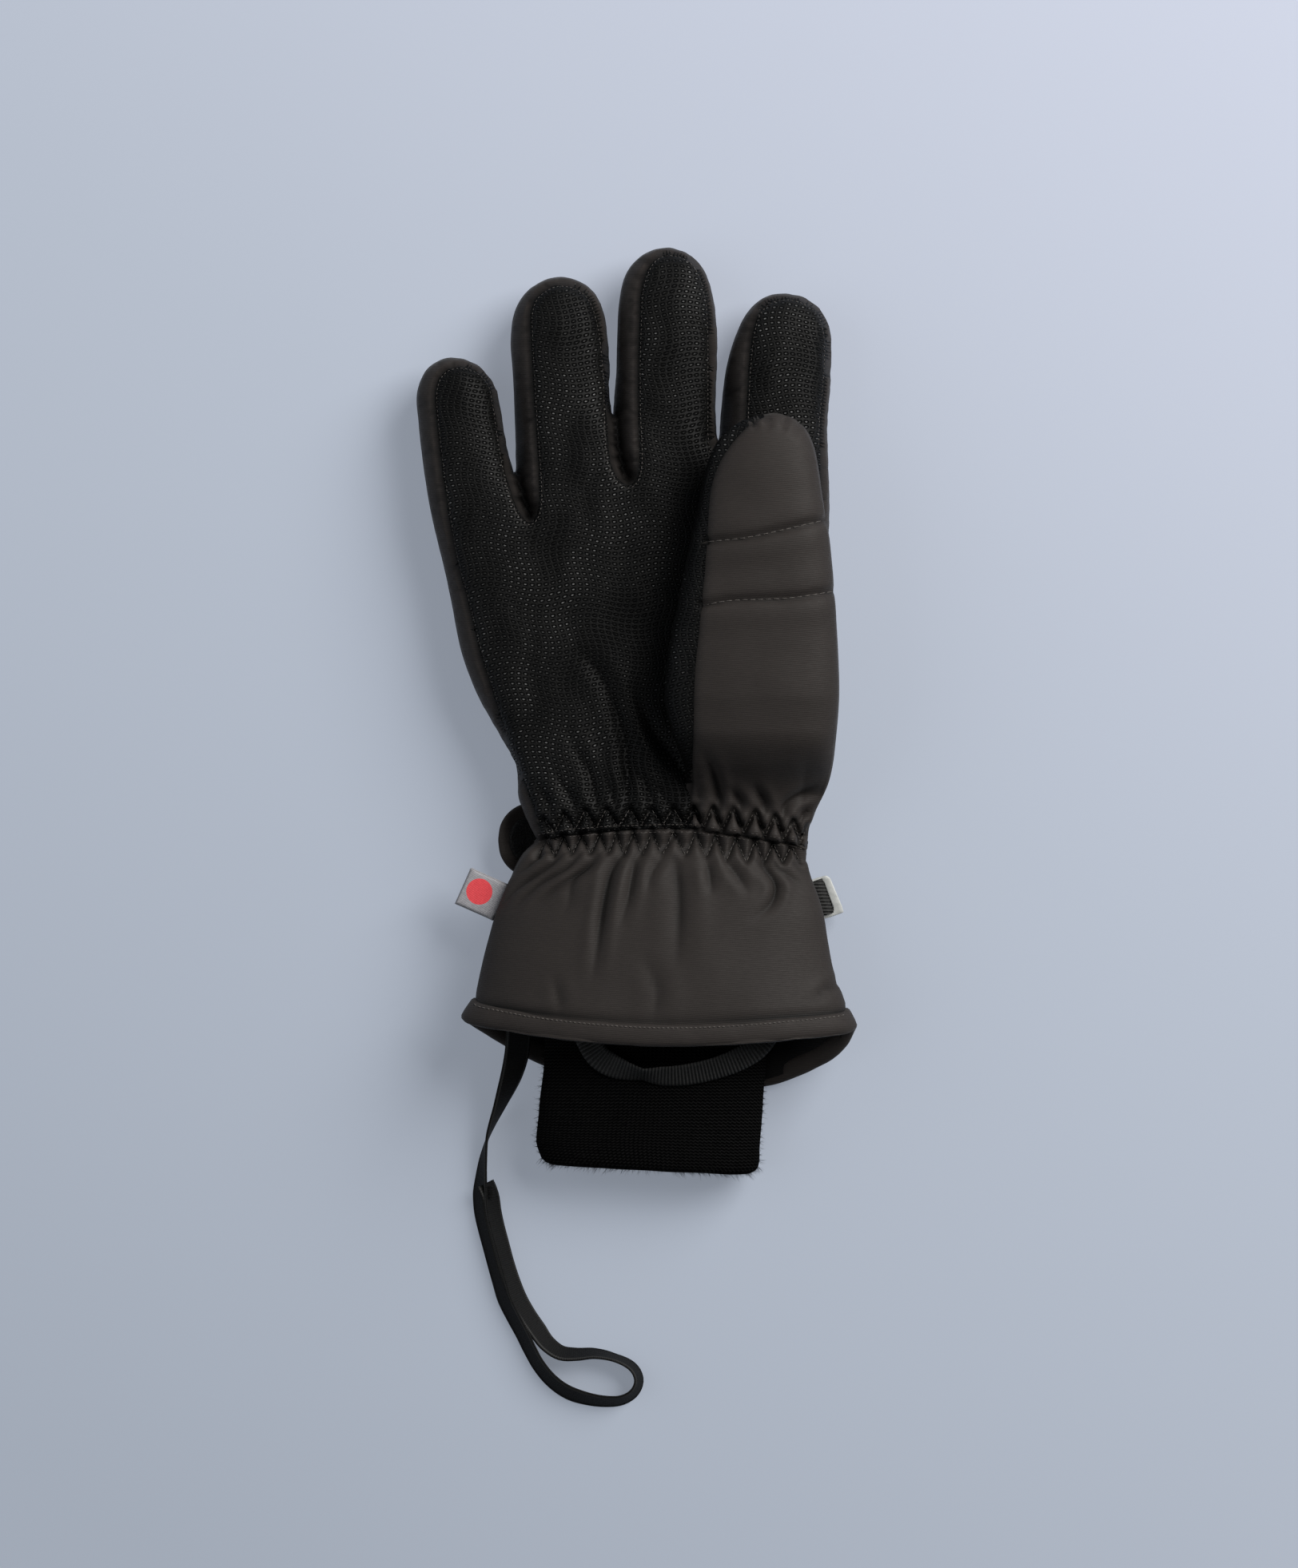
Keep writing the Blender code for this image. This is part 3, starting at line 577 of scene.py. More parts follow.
class Strip:
    """Gathers many small solids into one mesh."""

    def __init__(self):
        self.points, self.faces, self.count = [], [], 0

    def add(self, points, faces):
        self.points.append(np.asarray(points, float))
        self.faces += [[self.count + i for i in f] for f in faces]
        self.count += len(points)

    def make(self, name, material):
        return build(name, np.vstack(self.points), self.faces, material)


UNDER_GLOVE, OVER_GLOVE = -20.0, 80.0


def ground(tree, x, y, up=False):
    """Where a line straight down (or up) at x, y first meets a shell: the place and the outward normal."""
    start = Vector((x, y, UNDER_GLOVE if up else OVER_GLOVE))
    place, normal, *_ = tree.ray_cast(start, Vector((0, 0, 1 if up else -1)))
    return place, normal


def tree_of(points, faces):
    return BVHTree.FromPolygons([Vector(p) for p in points], [list(map(int, f)) for f in faces])


def stitch(strip, a, b, normal, radius):
    """One short thread from a to b, arched over the cloth."""
    a, b, normal = (np.array(v, float) for v in (a, b, normal))
    along = (b - a) / max(np.linalg.norm(b - a), 1e-9)
    side = np.cross(along, normal)
    side /= max(np.linalg.norm(side), 1e-9)
    rings = []
    for t, lift, r in ((0.0, -0.25, 0.55), (0.2, 0.12, 1.0), (0.8, 0.12, 1.0), (1.0, -0.25, 0.55)):
        centre = a + (b - a) * t + normal * lift * radius * 2
        for k in range(5):
            turn = 2 * math.pi * k / 5
            rings.append(centre + (side * math.cos(turn) + normal * math.sin(turn)) * radius * r)
    faces = sheet_grid(4, 5, closed=True) + [(4, 3, 2, 1, 0), (15, 16, 17, 18, 19)]
    strip.add(rings, faces)


def stitch_row(strip, tree, path, long, gap, radius, up=False):
    """Threads along a plan path, laid on the shell below it."""
    far = lengths(path)
    at = 0.4
    while at + long < far[-1]:
        ends = []
        for s in (at, at + long):
            x, y = (float(np.interp(s, far, path[:, i])) for i in (0, 1))
            ends.append(ground(tree, x, y, up=up))
        (a, na), (b, nb) = ends
        if a is not None and b is not None and (a - b).length < long * 2.2:
            normal = (na + nb).normalized()
            stitch(strip, a + normal * 0.05, b + normal * 0.05, normal, radius)
        at += long + gap


# ---------------------------------------------------------------- the leash, a flat elastic
LEASH_POINTS = [
    (-38.6, -98, 15.5), (-39, -104, 15.6), (-39.4, -110, 15.4), (-40, -116, 14.2), (-41.7, -123, 11.6),
    (-43.8, -129, 8.4), (-46.2, -135, 5.4), (-48.6, -140.6, 3.3), (-50.4, -146, 2.1),
    *((x, y, 2.0) for x, y in [
        (-51.6, -152), (-52.3, -158), (-52.8, -164), (-52.6, -170), (-51.6, -176), (-50.4, -182), (-49.2, -188),
        (-47.8, -194), (-46, -200), (-42.8, -206), (-39.4, -211.6), (-36.4, -217), (-33.1, -222.3),
        (-28.6, -227.4), (-23.2, -231.2), (-16.8, -233.4), (-10, -234.4), (-4.4, -233.9), (-0.3, -231.2),
        (1, -226.8), (-1.6, -222.4), (-6.9, -218.8), (-13.1, -217.6), (-19, -217.9), (-24.4, -217.4),
        (-29, -214.2), (-32.4, -209.6), (-35.8, -204.6), (-38.8, -199.2), (-41.2, -193.2), (-43.2, -187),
        (-44.8, -181), (-46.4, -175), (-47.6, -169.4), (-48.2, -165),
    ]),
]


def ribbon(path, width, thick, roll, across=9, lift=0.0, ridge=0.0, ribs=0.0, pitch=1.2):
    """A flat band along a path. roll gives its lean, in degrees, along the path from 0 to 1."""
    count = len(path)
    along = np.gradient(path, axis=0)
    along /= np.linalg.norm(along, axis=1)[:, None]
    side = np.cross(along, (0, 0, 1.0))
    side /= np.linalg.norm(side, axis=1)[:, None]
    up = np.cross(side, along)
    lean = np.radians(np.interp(np.linspace(0, 1, count), *zip(*roll)))[:, None]
    flat = side * np.cos(lean) + up * np.sin(lean)
    face = -side * np.sin(lean) + up * np.cos(lean)
    far = lengths(path)
    middle = path + np.array([0, 0, 1.0]) * lift
    middle = middle + np.abs(np.sin(lean)) * np.array([0, 0, 1.0]) * max(width / 2 - 2.0, 0)
    loops, rest = [], []
    s = np.linspace(-1, 1, across)
    for sign, order in ((1, s), (-1, s[::-1])):
        for v in order:
            edge = thick / 2 * (1 - 0.5 * abs(v) ** 8)
            bulge = edge + ridge * math.exp(-((abs(v) - 0.86) / 0.06) ** 2)
            wave = ribs * (0.5 + 0.5 * np.cos(2 * math.pi * far / pitch + 1.2 * v))[:, None] * (1 - abs(v) ** 6)
            loops.append(middle + flat * v * width / 2 + face * sign * (bulge + wave))
            rest.append(np.column_stack([np.full(count, v * width / 2), far, np.zeros(count)]))
    points = np.stack(loops, 1).reshape(-1, 3)
    where = np.stack(rest, 1).reshape(-1, 3) * MM
    ring = 2 * across
    faces = sheet_grid(count, ring, closed=True)
    faces = [f[::-1] for f in faces]
    faces.append(tuple(range(ring)))
    faces.append(tuple((count - 1) * ring + k for k in reversed(range(ring))))
    return points, faces, where


# the two strands lie closer together than the points above
strands = [(x - 0.9, y - 0.5, z) if n > 29 else (x + 1.8 * math.exp(-((y + 197.0) / 21.0) ** 2), y, z)
           for n, (x, y, z) in enumerate(LEASH_POINTS)]
leash_path = line(strands + [(-50.0, -162.6, 2.6), (-51.0, -160.4, 2.6)], 1.2)
LEASH_ROLL = [(0, 6), (0.06, 12), (0.10, 36), (0.14, 62), (0.18, 82), (0.22, 108), (0.26, 124), (0.40, 125),
              (0.48, 122), (0.55, 126), (0.62, 114), (0.69, 102), (0.74, 114), (0.80, 131), (0.9, 131),
              (1.0, 132)]
LEASH_WIDTH, LEASH_THICK = 8.5, 0.95
band, faces, where = ribbon(leash_path, LEASH_WIDTH, LEASH_THICK, LEASH_ROLL, 11, -1.3, 0.22)
band[:, 2] = np.maximum(band[:, 2], 0.05)
leash = build("wrist_leash", band, faces, ELASTIC, rest=where)
declare(leash, "flat_elastic", "leash", ride="gauntlet")
tack = Strip()
for k in range(8):
    y = -165.0 + k * 0.5
    stitch(tack, (-52.6 + 0.25 * (k % 2), y, 4.6), (-47.6, y + 0.2, 4.8), (0, 0, 1), 0.24)
leash_tack = tack.make("leash_bar_tack_threads", DARK_THREAD)
declare(leash_tack, "thread", "leash_bar_tack", ride="gauntlet")

# ---------------------------------------------------------------- outlines in plan, in mm
CUT_Y = -46.5
HAND_OUTLINE = [
    (-32, CUT_Y), (-33.5, -42), (-36.5, -36), (-39.3, -29.3), (-39.8, -20.4), (-42.5, -13.9), (-46.3, -7.2),
    (-53.1, 5), (-58.5, 19.3), (-61.7, 34.7), (-64.7, 48.7), (-68.4, 64.4), (-70.6, 76.3), (-72.2, 87.3),
    (-73.3, 98.4), (-73.8, 107.3), (-71.1, 114.6), (-67.4, 117.9), (-62.3, 119.5), (-54.1, 117.4),
    (-48.5, 111.6), (-46, 105.2), (-44.7, 96.3), (-43, 87.6), (-41.7, 82.8), (-41.1, 80.8), (-40.7, 80.8),
    (-40.4, 83), (-40.5, 87.6), (-40.6, 94.1), (-40.9, 102.7), (-41.4, 114.9), (-42, 126), (-40.4, 135.9),
    (-35.2, 143), (-25.5, 146.8), (-15.6, 143.2), (-10.7, 134.9), (-8.8, 120.6), (-8.6, 110), (-8.2, 102.8),
    (-7.9, 100.6), (-7.5, 100.6), (-7.3, 102.8), (-7, 107.3), (-6.4, 114.9), (-6.1, 126), (-5.3, 138.1),
    (-2.9, 148), (3.1, 154.4), (10.9, 156.6), (18.3, 154.2), (23.1, 149.2), (25.8, 142.4), (27.4, 131.6),
    (27.7, 120.6), (27.4, 111.6), (27.2, 102.7), (27.6, 96.3), (27.9, 91.9), (28.4, 91.9), (28.7, 96.3),
    (29.4, 105.2), (30.8, 116), (34.5, 128.1), (38.9, 135.9), (46, 140.7), (54.9, 140.5), (61.7, 136.5),
    (65.5, 130.5), (66.3, 124.9), (66, 109.5), (65, 96.3), (65.2, 85.2), (65.7, 70.9), (65.6, 62), (64.6, 50),
    (63.2, 35), (61.3, 10), (60, -5), (58.6, -18), (57.4, -32), (57.2, CUT_Y),
]
LEATHER_OUTLINE = [
    (-29.6, CUT_Y), (-30.8, -42), (-35.2, -30.4), (-39, -20.4), (-43.1, -10.7), (-47.6, 3.9), (-52, 18.2),
    (-57, 37.9), (-60.6, 51.2), (-63.3, 67.6), (-66, 87.3), (-67.2, 98.4), (-67.6, 107.5), (-65.5, 113.4),
    (-60.6, 116.2), (-53.9, 115.2), (-48.9, 110.5), (-47, 102.7), (-45, 89.5), (-42.4, 76.5), (-39.8, 68.4),
    (-37.3, 64.4), (-35.4, 63.2), (-33.6, 64.8), (-32.4, 69), (-32.4, 76), (-33.1, 87.3), (-34.2, 102.7),
    (-35.3, 124), (-35.3, 134.9), (-32.3, 140.6), (-25, 144), (-16.6, 141), (-12.2, 132), (-9.9, 114.9),
    (-9.3, 98.4), (-8.6, 86), (-7, 80), (-4.7, 76.9), (-2.2, 75.6), (0, 77.2), (1.2, 81.5), (1.4, 88),
    (0.9, 98.4), (0.8, 114.9), (1.2, 131.6), (2, 142.4), (5, 150.5), (9, 153.9), (14.6, 154), (20.6, 150),
    (24.3, 140.3), (25.4, 128.1), (25.5, 111.6), (25.5, 102.7), (25.6, 92), (27.2, 82), (30.6, 77.8),
    (34.4, 80), (36.3, 87), (37.1, 99.5), (37.9, 114.9), (39.4, 127.6), (41.7, 134.6), (45.8, 138.4),
    (51.4, 139.4), (58, 137.6), (62.6, 133.5), (64.5, 126.5), (64.6, 114.9), (63, 96.3), (62.8, 83), (62.6, 66),
    (61.4, 50), (60, 35), (58, 10), (56.6, -5), (52, -14), (36, -17), (24, -19), (22, -26), (21.6, CUT_Y),
]
THUMB_OUTLINE = [
    (17.6, CUT_Y), (17.6, -39.3), (17.4, -30), (16.6, -20.4), (13.6, -10.5), (10.4, 0), (9.9, 8.5),
    (10.9, 18.2), (12.6, 26.9), (15.8, 43.3), (19.3, 59.8), (21.5, 70.9), (23.6, 80.9), (27.4, 89.4),
    (34.7, 96), (43.3, 98.9), (49.6, 98.6), (55.6, 95.4), (59, 89.9), (61, 82), (63, 67.6), (65.2, 54.4),
    (66.4, 40.1), (67.6, 22.5), (68.1, 5), (67.2, -9.3), (65.1, -23.9), (60, -35.4), (58.4, -40.4),
    (57.6, CUT_Y),
]
THUMB_SEAM = [
    (18.6, CUT_Y), (18.7, -39.3), (18.8, -26.1), (19.2, -9.3), (19.8, 12.6), (21.3, 26.9), (22.9, 43.3),
    (24, 58.7), (24.7, 72), (26.9, 80.5), (31.2, 87.9), (37.3, 94.6), (41.6, 97.6), (43.3, 98.9),
]
QUILTS = [
    [(24, 55.8), (36.3, 57), (47.4, 59.3), (63.4, 63.2)],
    [(22.3, 34.6), (30.9, 36.1), (52.8, 37.2), (66.5, 39.6)],
]
WRIST_SEAM = [
    (-34.5, -43.6), (-30.4, -42.5), (-23.1, -41.2), (-7.7, -40.1), (8, -39.6), (19.3, -39.6), (36.3, -42),
    (47.4, -43.9), (58.5, -45.4),
]


def seam_y(x):
    """The height in plan of the wrist seam."""
    xs, ys = zip(*WRIST_SEAM)
    return np.interp(x, xs, ys)


# ---------------------------------------------------------------- gathers and folds
UPPER_TIPS = [
    (-30.5, -36.5), (-23.8, -34.6), (-16.7, -33.4), (-9.6, -33), (-1.7, -33), (5.4, -33), (12.9, -32.8),
    (20, -32.6), (26, -32.4), (32.8, -32.4), (40.3, -33.3), (47, -35), (53, -36.9), (58.2, -38.5),
]
LOWER_TIPS = [
    (-32.5, -49), (-26.9, -49), (-21.2, -48.5), (-14.9, -48.4), (-8.9, -48.2), (-3.6, -48.9), (2.4, -48.9),
    (9.1, -48.9), (17, -48.9), (23.8, -49.5), (30.5, -50.8), (37.3, -51.1), (43.3, -51.1), (49.6, -51.1),
    (55.6, -51),
]


def zigzag(tips, foot):
    """The stitched zigzag that gathers the cloth on one side of the wrist seam."""
    path = []
    for a, b in zip(tips, tips[1:]):
        x = (a[0] + b[0]) / 2
        path += [a, (x, float(seam_y(x)) + foot)]
    return np.array(path + [tips[-1]])


UPPER_ZIGZAG, LOWER_ZIGZAG = zigzag(UPPER_TIPS, 0.9), zigzag(LOWER_TIPS, -0.9)
FOLDS = [  # valleys that run out from the gathers: points in plan, depth, width
    ([(-2.6, -32), (-2.7, -15), (-6.5, 0), (-11.7, 12), (-20.7, 22.4)], 2.7, 2.5),
    ([(18, -24), (15.3, -18.9), (6.3, -7.6), (0.3, 3.6), (-2, 12)], 2.1, 2.3),
    ([(-12.4, -33), (-13.2, -29.4), (-14.7, -22.6), (-19.2, -13.6), (-24, -4)], 1.8, 2),
    ([(-19.4, -35.4), (-21, -30), (-24.6, -24.9), (-28, -17)], 1.4, 1.8),
    ([(-26.9, -36.5), (-30.5, -28.5), (-34.4, -21.9)], 1.3, 1.7),
    ([(6.8, -32.5), (3.5, -25), (-0.7, -16.6)], 1.7, 1.8),
    ([(12.1, -33), (9.5, -29), (7, -24)], 1.4, 1.6),
    ([(-6.5, -33.5), (-8.5, -26), (-10.6, -18)], 1.2, 1.8),
    ([(28.6, -33), (27.9, -27.9), (25.6, -20), (22.6, -13.6)], 1.9, 1.8),
    ([(36, -33.5), (35, -30.5), (30.9, -24.9)], 1.5, 1.6),
    ([(44, -34.5), (43, -30.5), (39.1, -24.1)], 1.5, 1.6),
    ([(49.8, -36.5), (50.6, -32), (58.3, -27.1), (63, -25.2)], 1.6, 1.5),
    ([(54.5, -38.5), (57, -34.5), (62.5, -30)], 1.2, 1.4),
    ([(-5, -49), (-8, -54), (-9.3, -58.7), (-11.2, -69.5), (-12.6, -81), (-14, -91)], 2.6, 1.9),
    ([(0.5, -49), (-0.4, -53.3), (-2, -62.2), (-4.7, -72.2)], 2.1, 1.7),
    ([(13.5, -50), (14.2, -54), (15, -65), (14.2, -87)], 1.5, 3.4),
    ([(24, -51), (25, -54), (25.8, -62.5)], 1.7, 1.9),
    ([(31, -51.5), (33.9, -54.5), (38.5, -62)], 1.6, 1.7),
    ([(41, -51), (43.9, -53.3), (47.4, -58.7), (45.5, -65), (37.4, -71)], 2.2, 1.8),
    ([(46, -51), (48.2, -53.3), (58.2, -60.3)], 1.3, 1.5),
    ([(52, -50.5), (55.5, -54), (60, -57)], 1, 1.4),
    ([(-24, -49), (-28.2, -52), (-39.8, -60), (-45, -67)], 2.3, 1.4),
    ([(-18, -48.5), (-23, -53), (-33, -59), (-42, -68)], 2.2, 1.4),
    ([(-12, -48.5), (-16.5, -53), (-27, -60), (-36, -67)], 1.8, 1.5),
    ([(-15, -52), (-20.5, -56.8), (-22, -64.9), (-24.7, -69.5)], 1, 2),
    ([(9, -49.5), (5.5, -55), (4.5, -62)], 1.2, 1.6),
    ([(-29, -48), (-34, -51.5), (-41, -56.5)], 1.9, 1.3),
    ([(7, -102), (8, -94), (6, -88), (2, -80)], 0.8, 2.8),
    ([(-24, -100), (-26, -93), (-27, -88)], 0.9, 1.8),
    ([(69, -91), (64, -93.5), (58, -98)], 1.3, 1.5),
]
FOLDS = [(line(path, 1.2), depth, width) for path, depth, width in FOLDS]


def gather(points):
    """How far the cloth stands out for the wrist elastic and its folds, and how much painted shade darkens its
    creases.
    """
    near = (points[:, 1] < 34.0) & (points[:, 1] > -110.0)
    out, crease = np.zeros(len(points)), np.zeros(len(points))
    p = points[near][:, :2]
    from_seam = p[:, 1] - seam_y(p[:, 0])
    band = np.exp(-(np.abs(from_seam) / 9.5) ** 5)
    gap = np.minimum(distance(p, UPPER_ZIGZAG)[0], distance(p, LOWER_ZIGZAG)[0])
    total = band * (1.8 * smooth_step(gap / 2.3) - 0.5 - 1.3 * np.exp(-gap / 0.5))
    total -= 0.9 * bell(from_seam, 0.6)
    # painted shade along the zigzag stitches and the seam, and below in each fold's valley
    dark = 0.85 * band * bell(gap, 0.75) + 0.6 * bell(from_seam, 0.6)
    for path, depth, width in FOLDS:
        d, t = distance(p, path)
        d = np.sqrt(d * d + 0.2)
        fade = np.minimum(1.0, (1.0 - t) * 2.0) * np.minimum(1.0, 0.45 + t * 3.0)
        valley = 0.4 * bell(d, width) + 0.8 * np.exp(-d / (0.32 * width))
        ridge = bell(d - 2.1 * width, 0.95 * width)
        total += 1.05 * depth * fade * (0.2 * ridge - valley)
        dark += 0.4 * depth * fade * bell(d, 0.5 * width)
    out[near], crease[near] = total, np.minimum(dark, 0.9)
    return out, crease


def tuck_in(points):
    """How far the cloth goes under the gauntlet past the wrist seam."""
    return 3.0 * smooth_step((seam_y(points[:, 0]) - points[:, 1] - 0.2) / 1.1)


def groove(points, path, depth, width):
    return -depth * bell(distance(points, path)[0], width)


# ---------------------------------------------------------------- the hand: leather on top, nylon round it
SPACING = 1.45
THUMB_SIDE = np.array([(16, -22), (9.5, 2), (11, 20), (15.8, 43.3), (21.5, 70.9), (25, 84)])
hand_edge = line(HAND_OUTLINE, 1.15)
leather_edge = line(LEATHER_OUTLINE, 1.15)
hand = Pillow(hand_edge, [leather_edge], SPACING, 7.0, 3.72, CUT_Y)
y = hand.xy[:, 1]
HAND_MIDDLE = ([-60, -45, -30, -18, -6, 5, 60, 95, 160],
               [16.6, 16.6, 16.0, 14.8, 13.6, 13.4, 13.2, 12.6, 12.3])
hand_middle = np.interp(y, *HAND_MIDDLE)
squeeze = np.interp(y, [-60, -45, -30, -10, 5], [0.84, 0.84, 0.9, 0.97, 1.0])
swell = hand.swell * squeeze
hand_top = hand_middle + swell
hand_low = hand_middle - hand_middle * (1 - (1 - np.clip(swell / 12.9, 0, 1)) ** 1.7)
hand_low = np.maximum(hand_low, hand_middle - swell * 1.12)
points, faces, on_top = hand.shell(hand_top, hand_low)
normals = vertex_normals(points, faces)
top_points = np.arange(len(points)) < len(hand.xy)
push = np.zeros(len(points))
seam_gap = distance(points, leather_edge)[0]
in_leather = inside(points[:, :2], leather_edge) & top_points
push -= top_points * 0.75 * bell(seam_gap, 0.75)
push += in_leather * 0.55 * smooth_step(seam_gap / 3.0)
folds, crease = gather(points)
# the palm sinks beside the thumb, and is painted darker there: painted shadow of the thumb
hollow = in_leather * bell(distance(points, THUMB_SIDE)[0], 17.0)
push -= 1.6 * hollow
crease += 0.5 * hollow
push += in_leather * 0.55 * bumps(points * [1.0, 0.35, 0.0], 7.5, 6.1)
push += np.where(top_points, folds, folds * 0.5)
# painted shade along the groove round the leather's edge
crease += top_points * 0.75 * bell(seam_gap, 0.7)
push += 0.28 * bumps(points, 9.0, 3.1) + 0.32 * bumps(points, 21.0, 8.7)
push[:len(hand.xy)] *= np.where(hand.rim, 0.3, 1.0)

# the gaps between the fingers dip down, and painted shade darkens the nylon along each gap
dip, shade = np.zeros(len(points)), np.zeros(len(points))
POCKETS = [
    [(-35.6, 66), (-38, 73), (-39.8, 82), (-40.5, 92), (-40.8, 122)],
    [(-3, 78.5), (-5.2, 86), (-6.3, 96), (-7.3, 106), (-6.8, 132)],
    [(30.4, 80), (29.8, 92), (30.4, 105), (31.6, 122)],
]
for path in POCKETS:
    d, t = distance(points, line(path, 2.0))
    low_down = smooth_step(1.7 * (1 - t)) * (top_points & ~in_leather)
    dip += low_down * bell(d, 3.0) * smooth_step(seam_gap / 2.0)
    shade += low_down * bell(d, 2.1) * smooth_step(seam_gap / 0.9)
pucker = np.array([noise.noise((p[0] / 2.6, p[1] / 2.6, 4.0)) for p in points])
push += top_points * 0.6 * pucker * np.exp(-seam_gap / 2.2)
# painted shade in the pucker valleys of the nylon between the fingers
pocket = top_points & ~in_leather & (points[:, 1] > 40.0)
crease += pocket * 0.45 * smooth_step(-2.6 * pucker - 0.1) * smooth_step(seam_gap / 1.4)

# two quilted lines over each finger's back, and one over the knuckles
FINGER_AXES = {}
for finger in ("pinky", "ring", "middle", "index"):
    knuckle, end = JOINTS[f"{finger}_knuckle"], JOINTS[f"{finger}_end_knuckle"]
    u = np.array(knuckle["axis"][:2])
    FINGER_AXES[finger] = (np.array(knuckle["pos_m"]) / MM, np.array([-u[1], u[0]]), u,
                           float(np.linalg.norm(np.array(end["pos_m"]) - np.array(knuckle["pos_m"]))) / MM)
BACK_QUILTS = []
for finger, (root, ahead, across, long) in FINGER_AXES.items():
    for along in (-3.0, long - 4.0):
        centre = root[:2] + ahead * along
        ends = [centre + across * side - ahead * 1.0 for side in (-14.5, 14.5)]
        BACK_QUILTS.append(line([ends[0], centre + ahead * 0.8, ends[1]], 1.2))
BACK_QUILTS.append(line([(-60.0, 38.0), (-30.0, 46.0), (5.0, 49.0), (40.0, 46.0), (61.0, 40.0)], 1.2))
for path in BACK_QUILTS:
    push += ~top_points * groove(points, path, 1.1, 1.0)
points = points + normals * push[:, None]
points[:, 2] = np.maximum(points[:, 2] - 7.5 * dip, 0.0)
points[:, 2] -= top_points * tuck_in(points)
crease = np.minimum(crease + 0.9 * shade, 0.93)
normals = vertex_normals(points, faces)
hand_tree = tree_of(points, faces)
hand_shell = (points, faces, normals, points * MM, crease)
centres = points[faces].mean(1)
leather_face = inside(centres[:, :2], leather_edge) & on_top
HAND_FILL, THUMB_FILL, GAUNTLET_FILL = 0.6, 0.7, 0.4


def across_wrist(made):
    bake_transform(made)


def finger_bend(made, finger, segment):
    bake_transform(made)


def region_of(xy):
    """The finger piece that each place in plan belongs to, or hand."""
    label = np.full(len(xy), "hand", dtype="U16")
    for finger, (root, ahead, across, long) in FINGER_AXES.items():
        along = (xy - root[:2]) @ ahead
        aside = np.abs((xy - root[:2]) @ across)
        others = np.min([np.abs((xy - axes[0][:2]) @ axes[2]) for name, axes in FINGER_AXES.items()
                         if name != finger], axis=0)
        mine = (aside < others) & (along > -9.0) & (xy[:, 1] > 60.0)
        label[mine & (along <= long / 2)] = finger + "_middle"
        label[mine & (along > long / 2)] = finger + "_tip"
    return label


region = region_of(centres[:, :2])
palm = part_of("palm_leather_skin", hand_shell, (region == "hand") & leather_face, LEATHER)
declare(palm, "goat_leather", "palm_leather", "insulation", fill=HAND_FILL)
across_wrist(palm)
back = part_of("back_nylon_skin", hand_shell, (region == "hand") & ~leather_face, NYLON)
declare(back, "shell_nylon", "back_nylon", "hand_lining", *(f"{finger}_knuckle_fold" for finger in FINGER_AXES),
        "wrist_elastic", fill=HAND_FILL)
across_wrist(back)

row = leather_edge - beside(np.gradient(leather_edge, axis=0))  # 1 mm inside the clockwise edge
seam_threads = {}
far = lengths(row)
for at in np.arange(2.0, far[-1] - 3.0, 1.5):
    a, b = (np.array([np.interp(s, far, row[:, i]) for i in (0, 1)]) for s in (at, at + 0.8))
    if min(a[1], b[1]) < -30.0 or (a[0] > 54.0 and a[1] < 90.0) or (a[1] < 0.0 and a[0] > 0.0):
        continue
    (pa, na), (pb, nb) = ground(hand_tree, *a), ground(hand_tree, *b)
    if pa is None or pb is None or (pa - pb).length > 3.5:
        continue
    strip = seam_threads.setdefault(str(region_of((a[None] + b[None]) / 2)[0]), Strip())
    stitch(strip, pa, pb, (na + nb).normalized(), 0.12)
for label, strip in seam_threads.items():
    made = strip.make(f"{label}_seam_threads", THREAD)
    if label == "hand":
        across_wrist(made)
    else:
        finger_bend(made, *label.split("_"))

for finger in FINGER_AXES:
    for segment in ("middle", "tip"):
        body = f"{finger}_{segment}"
        for kind, material, slot in (("leather", LEATHER, "goat_leather"), ("nylon", NYLON, "shell_nylon")):
            wanted = (region == body) & (leather_face if kind == "leather" else ~leather_face)
            made = part_of(f"{body}_{kind}_skin", hand_shell, wanted, material)
            nodes = [f"{body}_{kind}"]
            if kind == "nylon":
                nodes.append(f"{body}_liner")
            elif segment == "middle":
                nodes.append(f"{finger}_tip_fold")
            declare(made, slot, *nodes, fill=HAND_FILL)
            finger_bend(made, finger, segment)

# ---------------------------------------------------------------- the thumb
thumb_edge = line(THUMB_OUTLINE, 1.15)
thumb_seam = line(THUMB_SEAM, 1.15)
thumb_quilts = [line(q, 1.1) for q in QUILTS]
thumb = Pillow(thumb_edge, [thumb_seam[2:-2]], SPACING, 9.0, 1.62, CUT_Y)
y = thumb.xy[:, 1]
OVER_PALM = 27.9  # the least height of the thumb's underside
THUMB_MIDDLE = ([-60, -46, -37, -28, -18, -8, 4, 110], [14.5, 15.5, 19.5, 26.0, 33.4, 37.4, 38.8, 38.8])
thumb_middle = np.interp(y, *THUMB_MIDDLE)
swell = thumb.swell
top = thumb_middle + swell
low = thumb_middle - swell
for k in np.flatnonzero(y < -4.0):
    right = float(np.interp(y[k], [-46.5, -32.0, -18.0, -5.0], [57.2, 57.4, 58.6, 60.0]))
    place, _ = ground(hand_tree, min(float(thumb.xy[k, 0]), right - 1.6), float(y[k]))
    if place is not None:
        floor = place.z + 0.5 * smooth_step(thumb.edge_gap[k] / 2.0) - 0.9 * (thumb.edge_gap[k] < 0.6)
        pull = smooth_step((-10.0 - y[k]) / 32.0)
        raised = max(top[k], floor)
        top[k] = raised + (floor - raised) * pull
points, faces, on_top = thumb.shell(top, low)
normals = vertex_normals(points, faces)
top_points = np.arange(len(points)) < len(thumb.xy)
folds, crease = gather(points)
push = top_points * (groove(points, thumb_seam, 0.7, 0.75) + folds * smooth_step((points[:, 1] + 46.0) / 3.0))
